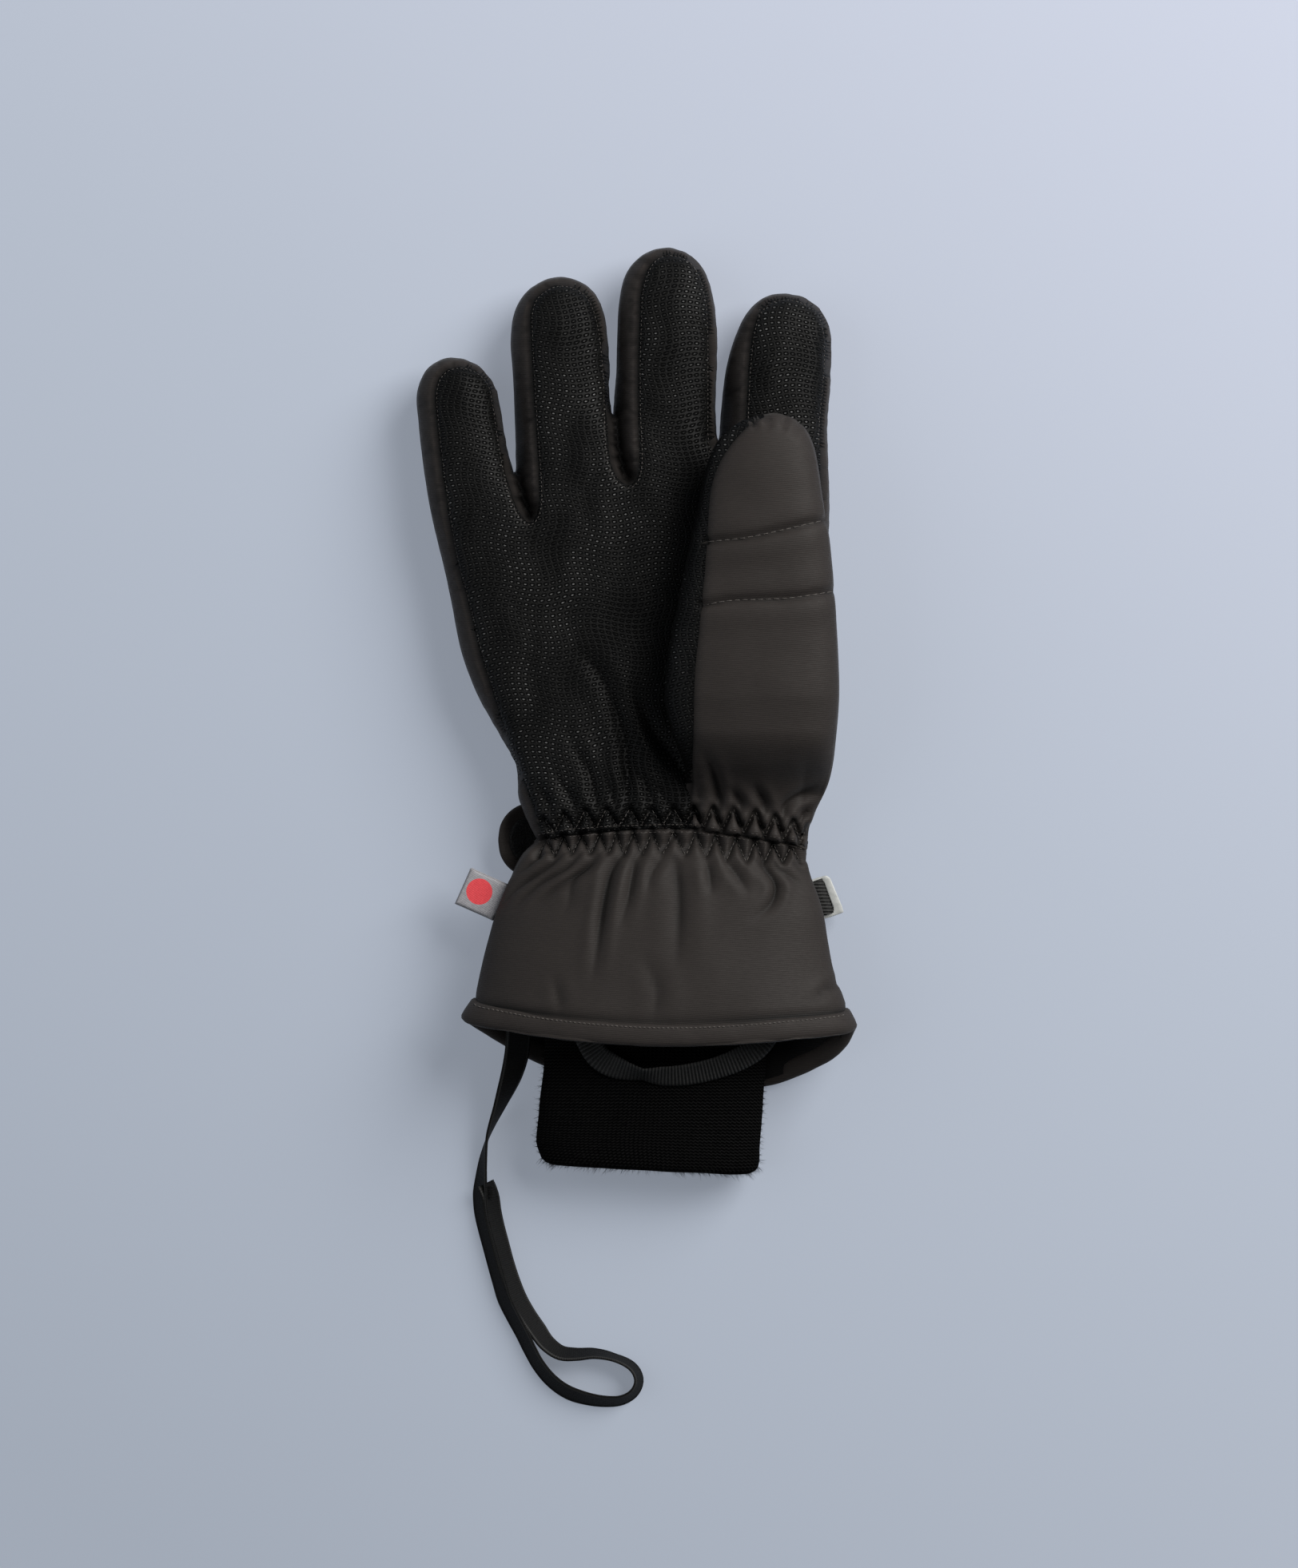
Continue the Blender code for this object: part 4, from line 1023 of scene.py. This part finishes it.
# painted shade along the thumb's seam groove, and below in its quilted grooves
crease = top_points * crease + 0.6 * bell(distance(points, thumb_seam)[0], 0.7)
for path in thumb_quilts:
    d = distance(points, path)[0]
    push += top_points * (0.45 * bell(d - 5.0, 4.0) - 1.35 * bell(d, 1.15))
    crease += top_points * 0.55 * bell(d, 0.8)
crease = np.minimum(crease, 0.9)
push += 0.3 * bumps(points, 12.0, 5.5) + 0.3 * bumps(points, 30.0, 1.9)
TIP_PLEATS = [[(44.5, 99.6), (44, 95)], [(50.5, 99), (49.4, 94)], [(55.5, 96.4), (53.2, 92.4)],
              [(38.5, 98.2), (39.6, 94.2)]]
for path in TIP_PLEATS:
    push += top_points * groove(points, np.array(path), 1.0, 0.9)
push[:len(thumb.xy)] *= np.where(thumb.rim, 0.25, 1.0)
points = points + normals * push[:, None]
points[:, 2] = np.where(points[:, 1] > -8.0, np.maximum(points[:, 2], OVER_PALM), points[:, 2])
points[:, 2] -= top_points * tuck_in(points)
points[:, 2] = np.maximum(points[:, 2], 6.0)
normals = vertex_normals(points, faces)
thumb_tree = tree_of(points, faces)
thumb_shell = (points, faces, normals, points * MM, crease)
centres = points[faces].mean(1)
seam_x = np.interp(centres[:, 1], thumb_seam[:, 1], thumb_seam[:, 0])
nylon_face = on_top & (centres[:, 0] > seam_x) & ~((centres[:, 1] > 97.5) & (centres[:, 0] < 43.0))
nylon_face |= ~on_top & (centres[:, 0] > 62.0)
nylon_face |= centres[:, 1] < -24.0
u = np.array(JOINTS["thumb_swing"]["axis"][:2])
ahead = np.array([-u[1], u[0]])
swing, tip_joint = (np.array(JOINTS[n]["pos_m"]) / MM for n in ("thumb_swing", "thumb_end_knuckle"))
along = (centres[:, :2] - swing[:2]) @ ahead
section = np.where(along < -15.0, 0, np.where(along < 36.0, 1, 2))
for n, (parent, body, hinge, half) in enumerate((
        ("gauntlet", "hand", None, None), ("hand", "thumb_middle", swing, 13.0),
        ("thumb_middle", "thumb_tip", tip_joint, 10.0))):
    for kind, material, slot in (("nylon", NYLON, "shell_nylon"), ("leather", LEATHER, "goat_leather")):
        wanted = (section == n) & (nylon_face if kind == "nylon" else ~nylon_face)
        if not wanted.any():
            continue
        made = part_of(f"{body if n else 'thumb_root'}_{kind}_skin", thumb_shell, wanted, material)
        if n == 0:
            root_nodes = ("thumb_root_nylon", "thumb_root_fold") if kind == "nylon" else ()
            declare(made, slot, *root_nodes, fill=THUMB_FILL)
            across_wrist(made)
            continue
        nodes = [f"{body}_{kind}"]
        if kind == "leather":
            nodes += [f"{body}_liner"] + ["thumb_tip_fold"] * (n == 1)
        declare(made, slot, *nodes, fill=THUMB_FILL)
        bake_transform(made)

# ---------------------------------------------------------------- the gauntlet
GAUNTLET = np.array([  # y, middle x, half width, middle height, half height
    (-38, 12, 45, 16.6, 11.4), (-44, 12.5, 45.3, 16.6, 11.4), (-49.3, 9.8, 47.4, 17.8, 12.8),
    (-56, 8.8, 50.6, 18.8, 14.4), (-67.9, 8.3, 55, 19.2, 16.4), (-78.4, 7.6, 57.3, 19.6, 17.9),
    (-88.7, 7.4, 59.4, 20, 19.2), (-96.5, 7.9, 61.9, 20.4, 20), (-103, 7.4, 65.2, 20.7, 20.5),
    (-107, 8, 66.1, 20.8, 20.6), (-130, 8, 66.3, 21, 20.8),
])
SMOOTH = line(GAUNTLET, 1.0)[::-1]


def gauntlet_section(y):
    return [np.interp(y, SMOOTH[:, 0], SMOOTH[:, k]) for k in range(1, 5)]


def gauntlet_point(turn, y, inset=0.0):
    middle, half, height, tall = gauntlet_section(y)
    power = 2.0 / 2.25
    c = np.sign(np.cos(turn)) * np.abs(np.cos(turn)) ** power
    s = np.sign(np.sin(turn)) * np.abs(np.sin(turn)) ** power
    return np.column_stack([middle + (half - inset) * c, y, height + (tall - inset) * s])


FRONT_HEM = [
    (-58.2, -103.6), (-56, -105), (-45, -106.6), (-32.8, -108.4), (-12, -110.6), (8.5, -111.9), (29.3, -111.4),
    (49.8, -110), (66, -108.8), (72.4, -108), (74.2, -106.9),
]
BACK_HEM = [
    (-58.2, -103.6), (-53.9, -106.8), (-43.1, -113), (-29.6, -119.7), (-12, -125), (8, -127.8), (28, -128),
    (44.7, -126.5), (62.2, -119.7), (70.6, -113.5), (74.2, -106.9),
]
FRONT_HEM, BACK_HEM = (line(path, 2.0) for path in (FRONT_HEM, BACK_HEM))


def hem_y(turn):
    x = 8.0 + 66.2 * np.cos(turn)
    front, back = (np.interp(x, path[:, 0], path[:, 1]) for path in (FRONT_HEM, BACK_HEM))
    return np.where(np.sin(turn) > 0, front, back)


def start_y(turn):
    x = 12.5 + 45.0 * np.cos(turn)
    return np.where(np.sin(turn) > 0, seam_y(x) + 0.4, -43.8 + 0.0 * x)


COLUMNS, ROWS = 360, 60
turns = np.linspace(0, 2 * math.pi, COLUMNS, endpoint=False)
grid = []
for r in range(ROWS):
    t = r / (ROWS - 1)
    t = 0.42 * t + 0.58 * t**2.2
    y = start_y(turns) + (hem_y(turns) - start_y(turns)) * t
    grid.append(gauntlet_point(turns, y))
points = np.vstack(grid)
faces = np.array(sheet_grid(ROWS, COLUMNS, closed=True))
normals = vertex_normals(points, halves(faces))
outward = normals[:, 2] * (points[:, 2] - 20.0) + normals[:, 0] * (points[:, 0] - 8.0)
if outward.sum() < 0:
    faces = faces[:, ::-1]
    normals = -normals
SIDE_Z = 19.0  # the height of the side seams
upper = points[:, 2] > SIDE_Z
side_fade = smooth_step(np.abs(points[:, 2] - SIDE_Z) / 6.0)
folds, crease = gather(points)
behind, behind_painted_shade = gather(points * [-1, 1, 1] + [25.0, 0, 0])
push = np.where(upper, folds, 0.8 * behind) * (0.35 + 0.65 * side_fade)
# the gathers' painted crease shade, fading out at the side seams
crease = np.where(upper, crease, behind_painted_shade) * side_fade
push += 0.45 * bumps(points, 16.0, 2.2)
push += 0.6 * bumps(points, 34.0, 7.4) * smooth_step((-60.0 - points[:, 1]) / 20.0)
push += 0.45 * smooth_step((seam_y(points[:, 0]) - points[:, 1]) / 1.2)
hem_gap = points[:, 1] - np.tile(hem_y(turns), ROWS)
push -= bell(hem_gap - 7.3, 0.9)
push -= 1.3 * bell(points[:, 2] - SIDE_Z, 1.6) * smooth_step((-48.0 - points[:, 1]) / 6.0)
# the whole gauntlet a little darker, and painted shade in the groove behind the hem
crease = np.minimum(crease + 0.06 + 0.9 * bell(hem_gap - 7.4, 0.75), 0.93)
points = points + normals * push[:, None]
points[:, 2] = np.maximum(points[:, 2], 0.15)
normals = vertex_normals(points, halves(faces))
gauntlet_shell = (points, faces, normals, points * MM, crease)
centres = points[faces].mean(1)
is_palm = np.arange(len(faces)) % COLUMNS < COLUMNS // 2
for label, wanted in (("palm_side", is_palm), ("back_side", ~is_palm)):
    made = part_of(f"gauntlet_{label}_shell", gauntlet_shell, wanted, NYLON)
    declare(made, "shell_nylon", f"gauntlet_{label}", fill=GAUNTLET_FILL)
    across_wrist(made)

# the lining inside it, and the turned hem round its edge
LINING_ROWS, LINING_DEPTH = 22, 2.6
inner = []
for r in range(LINING_ROWS):
    t = 0.12 + 0.88 * r / (LINING_ROWS - 1)
    y = start_y(turns) + (hem_y(turns) + 2.0 - start_y(turns)) * t
    inner.append(gauntlet_point(turns, y, LINING_DEPTH))
inner = np.vstack(inner)
inner[:, 2] = np.maximum(inner[:, 2], LINING_DEPTH)
lining_faces = np.array(sheet_grid(LINING_ROWS, COLUMNS, closed=True))
inner = inner + vertex_normals(inner, halves(lining_faces)) * (0.7 * bumps(inner, 11.0, 4.4))[:, None]
made = build("gauntlet_inside", inner, lining_faces, LINING)
declare(made, "lining_taffeta", "gauntlet_lining")
across_wrist(made)

HEM = [  # how far out of the cloth, how far back from the edge
    (0.15, 6.9), (0.75, 6.4), (1, 5), (1.05, 3), (0.9, 1.2), (0.45, 0.2), (-0.4, -0.35), (-1.3, -0.35),
    (-2.2, 0.2), (-2.6, 1.2), (-2.7, 3), (-2.6, 5), (-2.3, 6.4), (-1.5, 6.9),
]
hem = np.vstack([gauntlet_point(turns, hem_y(turns) + back_off, -out) for out, back_off in HEM])
hem[:, 2] = np.maximum(hem[:, 2], 0.0)
ripple = 0.25 * bumps(hem, 7.0, 9.9)
last = (len(HEM) - 1) * COLUMNS
hem_faces = np.array(sheet_grid(len(HEM), COLUMNS, closed=True)
                     + [(last + c, last + (c + 1) % COLUMNS, (c + 1) % COLUMNS, c) for c in range(COLUMNS)])
hem = hem + vertex_normals(hem, halves(hem_faces)) * ripple[:, None]
hem[:, 2] = np.maximum(hem[:, 2], 0.0)
made = build("hem_band", hem, hem_faces, NYLON)
declare(made, "shell_nylon", "hem_binding", ride="gauntlet")

# ---------------------------------------------------------------- the knit cuff
KNIT_STATIONS = line([  # y, middle x, half width, middle height, half height
    (-50, 8.5, 34.5, 16.4, 8.2), (-75, 8, 36.5, 15.4, 9.2), (-105, 6.9, 37, 13.6, 9.4),
    (-119.5, 6.6, 37.2, 13, 9.4), (-135, 5.2, 37.5, 12.4, 9.4), (-148, 4.4, 37.6, 11, 9.8),
    (-152, 4.8, 37.2, 10.4, 9.7), (-155, 5, 36.2, 10, 9.3), (-156.6, 5.2, 34.2, 9.9, 8.6),
], 1.0)[::-1]
RIBS = 112
KNIT_COLUMNS = RIBS * 4
KNIT_END = -156.0
FIBRES, FIBRE_WIDTH = 11000, 0.045


def knit_ring(y, inset):
    turn = np.linspace(0, 2 * math.pi, KNIT_COLUMNS, endpoint=False)
    middle, half, height, tall = (np.interp(y, KNIT_STATIONS[:, 0], KNIT_STATIONS[:, k]) for k in range(1, 5))
    c, s = np.cos(turn), np.sin(turn)
    c, s = np.sign(c) * np.abs(c) ** 0.62, np.sign(s) * np.abs(s) ** 0.62
    ring = np.column_stack([middle + (half - inset) * c, np.full(KNIT_COLUMNS, y), height + (tall - inset) * s])
    far = lengths(ring[:, [0, 2]])
    total = far[-1] + np.linalg.norm(ring[0] - ring[-1])
    even = np.linspace(0, total, KNIT_COLUMNS, endpoint=False)
    closed = np.vstack([ring, ring[:1]])
    far = np.append(far, total)
    return np.column_stack([np.interp(even, far, closed[:, k]) for k in range(3)])


def bow(x):
    """How far the cuff's edge is drawn back: 3.3 mm at its left end, nothing at its right."""
    return 3.3 * np.clip((x + 33.0) / 66.0, 0.0, 1.0) - 3.3


knit_rows, knit_rest = [], []
outside_y = np.concatenate([np.linspace(-50.0, -154.5, 50), [-155.6, -156.3, -156.55]])
inside_y = np.concatenate([[-156.3, -155.6], np.linspace(-154.0, -100.0, 10)])
insets = np.concatenate([np.zeros(50), [0.25, 0.7, 1.3, 1.9, 2.3], np.full(10, 2.5)])
phase = np.arange(KNIT_COLUMNS) / 4.0
for n, (y, inset) in enumerate(zip(np.concatenate([outside_y, inside_y]), insets)):
    ring = knit_ring(y, inset)
    middle, height = ring[:, 0].mean(), ring[:, 2].mean()
    out = ring - [middle, y, height]
    out[:, 1] = 0
    out /= np.linalg.norm(out, axis=1)[:, None]
    wave = np.cos(2 * math.pi * phase)
    ring = ring + out * (0.26 * wave + 0.22 * noise.noise((n * 0.22, 0.3, 0.1)))[:, None]
    ring[:, 1] -= bow(ring[:, 0]) * smooth_step((-135.0 - ring[:, 1]) / 20.0)
    knit_rows.append(ring)
    along = y if n < len(outside_y) else 2 * KNIT_END - y
    knit_rest.append(np.column_stack([phase, np.full(KNIT_COLUMNS, along * MM), ring[:, 2] * MM]))
knit_points = np.vstack(knit_rows)
knit_points += 0.3 * np.array([noise.noise_vector(Vector(p) / 14.0) for p in knit_points])
knit_points[:, 2] = np.maximum(knit_points[:, 2], 0.1)
knit_faces = sheet_grid(len(knit_rows), KNIT_COLUMNS, closed=True)
knit = build("knit_cuff_tube", knit_points, knit_faces, KNIT, rest=np.vstack(knit_rest))
declare(knit, "rib_knit", "knit_cuff", ride="gauntlet")

fuzz = Strip()
dice = random.Random(5)
for _ in range(FIBRES):
    r, c = dice.randrange(24, len(outside_y)), dice.randrange(KNIT_COLUMNS)
    if 0.2 < c / KNIT_COLUMNS < 0.3 and dice.random() < 0.6:
        continue
    p = knit_points[r * KNIT_COLUMNS + c]
    q = knit_points[r * KNIT_COLUMNS + (c + 8) % KNIT_COLUMNS]
    out = np.array([p[0] - 5.0, 0.0, (p[2] - 11.0) * 1.6])
    out /= max(np.linalg.norm(out), 1e-6)
    if r > 48:
        out[1] -= 1.2
    lean = np.array([dice.uniform(-1, 1) for _ in range(3)]) * 0.9
    tip = p + (out + lean) * dice.uniform(0.4, 1.6)
    bend = (p + tip) / 2 + np.array([dice.uniform(-0.3, 0.3) for _ in range(3)])
    wide = np.array([dice.uniform(-1, 1) for _ in range(3)])
    wide = wide / np.linalg.norm(wide) * FIBRE_WIDTH
    tip[2] = max(tip[2], 0.1)
    fuzz.add([p - wide, p + wide, bend + wide, bend - wide, tip], [(0, 1, 2, 3), (3, 2, 4)])
fuzz = fuzz.make("knit_fuzz", KNIT)
declare(fuzz, "rib_knit", ride="gauntlet")

# ---------------------------------------------------------------- pull loop
LOOP_PATH = line([
    (-17, -107, 23.9), (-15.6, -111, 23.9), (-12, -116.5, 24), (-5, -120.4, 24), (4, -122.4, 24.2),
    (14, -122.7, 24), (24, -121, 24), (33, -118, 24), (40, -114, 23.9), (43.5, -110, 23.9), (45, -107, 23.9),
], 0.16)
LOOP_ROLL = [(0, -12), (0.2, -16), (0.3, -46), (0.36, -62), (0.44, -40), (0.56, -30), (0.7, -28), (0.85, -20),
             (1, -10)]
band, loop_faces, where = ribbon(LOOP_PATH, 8.4, 0.7, LOOP_ROLL, 9, 0.0, 0.0, 0.22, 1.15)
made = build("pull_loop_webbing", band, loop_faces, WEBBING, rest=where)
declare(made, "woven_tape", "pull_loop", ride="pull_tab")


# ---------------------------------------------------------------- flat tabs: strap, patches, label
def slab(name, outline, heights, thick, material, bulge=0.25, layout=None):
    """A thin soft slab with a rounded edge. heights gives its underside over x and y, in mm."""
    flat = Pillow(line(outline, 1.0, closed=True), [], 1.4, 1.2, 1.0, -1e9)
    share = flat.swell / flat.swell.max()
    lift = heights(flat.xy[:, 0], flat.xy[:, 1])
    half = thick / 2 * (0.2 + 0.8 * share)
    half = np.where(flat.rim, 0.0, half)
    top, low = lift + thick / 2 + half * (1 + bulge * share), lift + thick / 2 - half
    points, faces, _ = flat.shell(top, low)
    rest = points * MM if layout is None else layout(points)
    return build(name, points, faces, material, rest=rest)


def tab_outline(root, tip, low, high, corner):
    """A strap's end: square at its root and round at its tip."""
    def corner_points(y, angles):
        turn = [math.radians(a) for a in angles]
        return [(tip + corner + corner * math.cos(a), y + corner * math.sin(a)) for a in turn]

    return [(root, low), (root, (low + high) / 2), (root, high), ((root + tip) / 2, high), (tip + corner, high),
            *corner_points(high - corner, (112, 135, 158)), (tip, high - corner), (tip, low + corner),
            *corner_points(low + corner, (202, 225, 248)), (tip + corner, low), ((root + tip) / 2, low)]


def curl(x, y):
    """The strap's underside, which lifts towards its tip."""
    return 0.3 + 0.04 * np.maximum(-24.0 - x, 0.0) ** 1.7


STRAP_THICK = 2.0
strap = slab("wrist_strap_tab", tab_outline(24.0, -46.3, -56.4, -31.0, 11.5), curl, STRAP_THICK, NYLON)
declare(strap, "shell_nylon", "wrist_strap", ride="strap")
hooks = slab("strap_hook_patch", tab_outline(-18.0, -42.6, -52.4, -34.8, 8.5),
             lambda x, y: curl(x, y) + STRAP_THICK, 1.0, HOOKS)
declare(hooks, "hook_tape", "hook_patch", ride="strap")
PATCH = [(-16, -40.5), (-2, -40.5), (12, -40.5), (12, -36.5), (12, -32.5), (-2, -32.5), (-16, -32.5),
         (-16, -36.5)]
patch = slab("loop_tape_patch", PATCH, lambda x, y: 3.2 + 0 * x, 0.8, LOOPS)
declare(patch, "loop_tape", "loop_patch", ride="hand")

TURN = math.radians(-24.0)
LABEL_HINGE = (-43.2, -58.3)
LABEL_SIDE, PAST_HINGE = 13.3, 1.1


def label_layout(points):
    c, s = math.cos(TURN), math.sin(TURN)
    x, y = points[:, 0] - LABEL_HINGE[0], points[:, 1] - LABEL_HINGE[1]
    return np.column_stack([-(x * c + y * s), -(-x * s + y * c), points[:, 2]]) * MM


label_edge = []
for n in range(48):
    side, t = n // 12, n % 12 / 12.0
    a, b = ((-t, 0.0), (-1.0, -t), (t - 1.0, -1.0), (0.0, t - 1.0))[side]
    a, b = a * (LABEL_SIDE + PAST_HINGE) + PAST_HINGE, b * LABEL_SIDE
    label_edge.append((LABEL_HINGE[0] + a * math.cos(TURN) - b * math.sin(TURN),
                       LABEL_HINGE[1] + a * math.sin(TURN) + b * math.cos(TURN)))
label = slab("side_label", label_edge, lambda x, y: 18.2 + 0.48 * np.sin((x + 43.0) / 6.0), 0.9, LABEL,
             bulge=0.0, layout=label_layout)
declare(label, "satin_label", "size_label", ride="label")

# ---------------------------------------------------------------- the pairing clip
CLIP = (57.0, -58.9, 6.2)
CLIP_LEAN = math.radians(18.5)


def clip_space(points):
    c, s = math.cos(CLIP_LEAN), math.sin(CLIP_LEAN)
    p = np.asarray(points, float)
    return np.column_stack([p[:, 0] * c - p[:, 1] * s, p[:, 0] * s + p[:, 1] * c, p[:, 2]]) + CLIP


def bevelled(made, width):
    """Rounds a made piece's edges, and lays its material out on the new shape."""
    bm = bmesh.new()
    bm.from_mesh(made.data)
    bmesh.ops.bevel(bm, geom=list(bm.edges), offset=width * MM, segments=2, affect="EDGES", profile=0.5)
    bm.to_mesh(made.data)
    bm.free()
    for polygon in made.data.polygons:
        polygon.use_smooth = True
    rest = made.data.attributes.get("rest") or made.data.attributes.new("rest", "FLOAT_VECTOR", "POINT")
    co = np.zeros(len(made.data.vertices) * 3, np.float32)
    made.data.vertices.foreach_get("co", co)
    rest.data.foreach_set("vector", co)


frame_points, frame_faces = [], []
outside = [(1.2, 0.5), (4.6, 0.8), (8.4, 0.6), (9.4, -0.6), (9.8, -6.0), (10.2, -11.0), (10.0, -13.2),
           (5.0, -13.3), (1.2, -13.0)]
middle_hole = [(3.2, -0.6), (4.6, -0.4), (6.4, -0.5), (6.9, -1.4), (7.0, -6.0), (7.2, -10.2), (6.9, -11.6),
               (5.0, -11.8), (3.2, -11.7)]
count = len(outside)
for z in (-1.2, 1.2):
    frame_points += [(a, b, z) for a, b in outside] + [(a, b, z) for a, b in middle_hole]
for i in range(count):
    k = (i + 1) % count
    frame_faces.append((i, k, count + k, count + i))
    frame_faces.append((2 * count + i, 3 * count + i, 3 * count + k, 2 * count + k))
    frame_faces.append((i, 2 * count + i, 2 * count + k, k))
    frame_faces.append((count + i, count + k, 3 * count + k, 3 * count + i))
clip = build("pairing_clip", clip_space(frame_points), frame_faces, PLASTIC)
bevelled(clip, 0.35)
declare(clip, "clip_plastic", "clip_frame", ride="clip")

PROFILE = line([(-1.0, 2.4), (4.6, 2.4), (6.2, 1.5), (6.8, 0.0), (6.2, -1.5), (4.6, -2.4), (-1.0, -2.4)], 0.45)
normal = np.column_stack([np.gradient(PROFILE[:, 1]), -np.gradient(PROFILE[:, 0])])
normal /= np.linalg.norm(normal, axis=1)[:, None]
web_ring = np.vstack([PROFILE + normal * 0.35, (PROFILE - normal * 0.35)[::-1]])
WEB_ROWS, count = 14, len(web_ring)
web_points = [(x, b, z) for b in np.linspace(0.1, -12.1, WEB_ROWS) for x, z in web_ring]
web_faces = sheet_grid(WEB_ROWS, count, closed=True)
for c in range(count // 2 - 1):
    cap = (c, count - 1 - c, count - 2 - c, c + 1)
    web_faces += [cap, tuple((WEB_ROWS - 1) * count + i for i in cap[::-1])]
webbing = build("clip_webbing_fold", clip_space(web_points), web_faces, WEBBING)
declare(webbing, "woven_tape", "clip_webbing", ride="gauntlet")

# ---------------------------------------------------------------- threads
threads = Strip()
hem_tree = tree_of(hem, hem_faces)
for up in (False, True):
    half_turn = np.linspace(0.06, math.pi - 0.06, 240) * (-1 if up else 1)
    row = gauntlet_point(half_turn, hem_y(half_turn) + 6.0)[:, :2]
    stitch_row(threads, hem_tree, row, 1.0, 0.55, 0.2, up=up)
made = threads.make("hem_threads", THREAD)
declare(made, "thread", ride="gauntlet")

for name, path in zip(("upper", "lower"), thumb_quilts):
    threads = Strip()
    stitch_row(threads, thumb_tree, path, 1.9, 0.7, 0.17)
    made = threads.make(f"thumb_{name}_quilt_threads", THREAD)
    if name == "lower":
        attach(made, "thumb_middle")
    else:
        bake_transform(made)

threads = Strip()
wrist_points, wrist_faces = [], []
for shell_points, shell_faces, *_ in (hand_shell, thumb_shell, gauntlet_shell):
    wrist_faces += (shell_faces + len(wrist_points)).tolist()
    wrist_points += shell_points.tolist()
wrist_tree = tree_of(wrist_points, wrist_faces)
for path in (UPPER_ZIGZAG, LOWER_ZIGZAG):
    for a, b in zip(path, path[1:]):
        stitch_row(threads, wrist_tree, np.array([a + (b - a) * 0.06, a + (b - a) * 0.94]), 1.1, 0.5, 0.14)
across_x = np.linspace(-33.0, 57.0, 120)
for off in (1.25, -1.25):
    stitch_row(threads, wrist_tree, np.column_stack([across_x, seam_y(across_x) + off]), 0.9, 0.6, 0.11)
made = threads.make("wrist_zigzag_threads", THREAD)
across_wrist(made)


# ---------------------------------------------------------------- floor and light
def make_floor():
    s = Shader("floor", (0.45, 0.52, 0.62), 0.9, Specular_IOR_Level=0.1)
    place = s.nodes.new("ShaderNodeNewGeometry")
    split = s.nodes.new("ShaderNodeSeparateXYZ")
    s.links.new(place.outputs["Position"], split.inputs[0])
    x, y = split.outputs[0], split.outputs[1]
    # painted light: the floor is lighter towards the upper right, where the key lamp stands
    corner = s.times_plus(x, 1.3, s.times(y, 1.9))
    tone = s.ramp(s.span(corner, -0.75, 0.75, 0.0, 1.0), (0.0, (0.182, 0.203, 0.240)),
                  (0.55, (0.217, 0.239, 0.281)), (1.0, (0.262, 0.279, 0.330)))
    s.colour(tone)
    # painted light: the floor glows with its colour, so shadows on it stay faint
    s.links.new(tone, s.shader.inputs["Emission Color"])
    s.shader.inputs["Emission Strength"].default_value = 0.94
    return s.material


mesh = bpy.data.meshes.new("floor")
mesh.from_pydata([(-3, -3, -0.0003), (3, -3, -0.0003), (3, 3, -0.0003), (-3, 3, -0.0003)], [], [(0, 1, 2, 3)])
mesh.materials.append(make_floor())
floor = bpy.data.objects.new("floor", mesh)
bpy.context.scene.collection.objects.link(floor)


def lamp(name, place, aim, size, power, colour):
    data = bpy.data.lights.new(name, "AREA")
    data.shape = "SQUARE"
    data.size = size
    data.energy = power
    data.color = colour
    made = bpy.data.objects.new(name, data)
    made.location = place
    made.rotation_euler = (Vector(aim) - Vector(place)).to_track_quat("-Z", "Y").to_euler()
    bpy.context.scene.collection.objects.link(made)


lamp("key", (1.45, 1.15, 1.45), (0, 0, 0), 1.6, 98.0, (1.0, 0.985, 0.96))
lamp("fill", (-1.6, 0.1, 1.1), (0, 0, 0), 2.0, 13.0, (0.94, 0.97, 1.0))
world = bpy.data.worlds.new("studio")
bpy.context.scene.world = world
world.use_nodes = True
world.node_tree.nodes["Background"].inputs["Color"].default_value = (0.86, 0.92, 1.0, 1.0)
world.node_tree.nodes["Background"].inputs["Strength"].default_value = 0.165
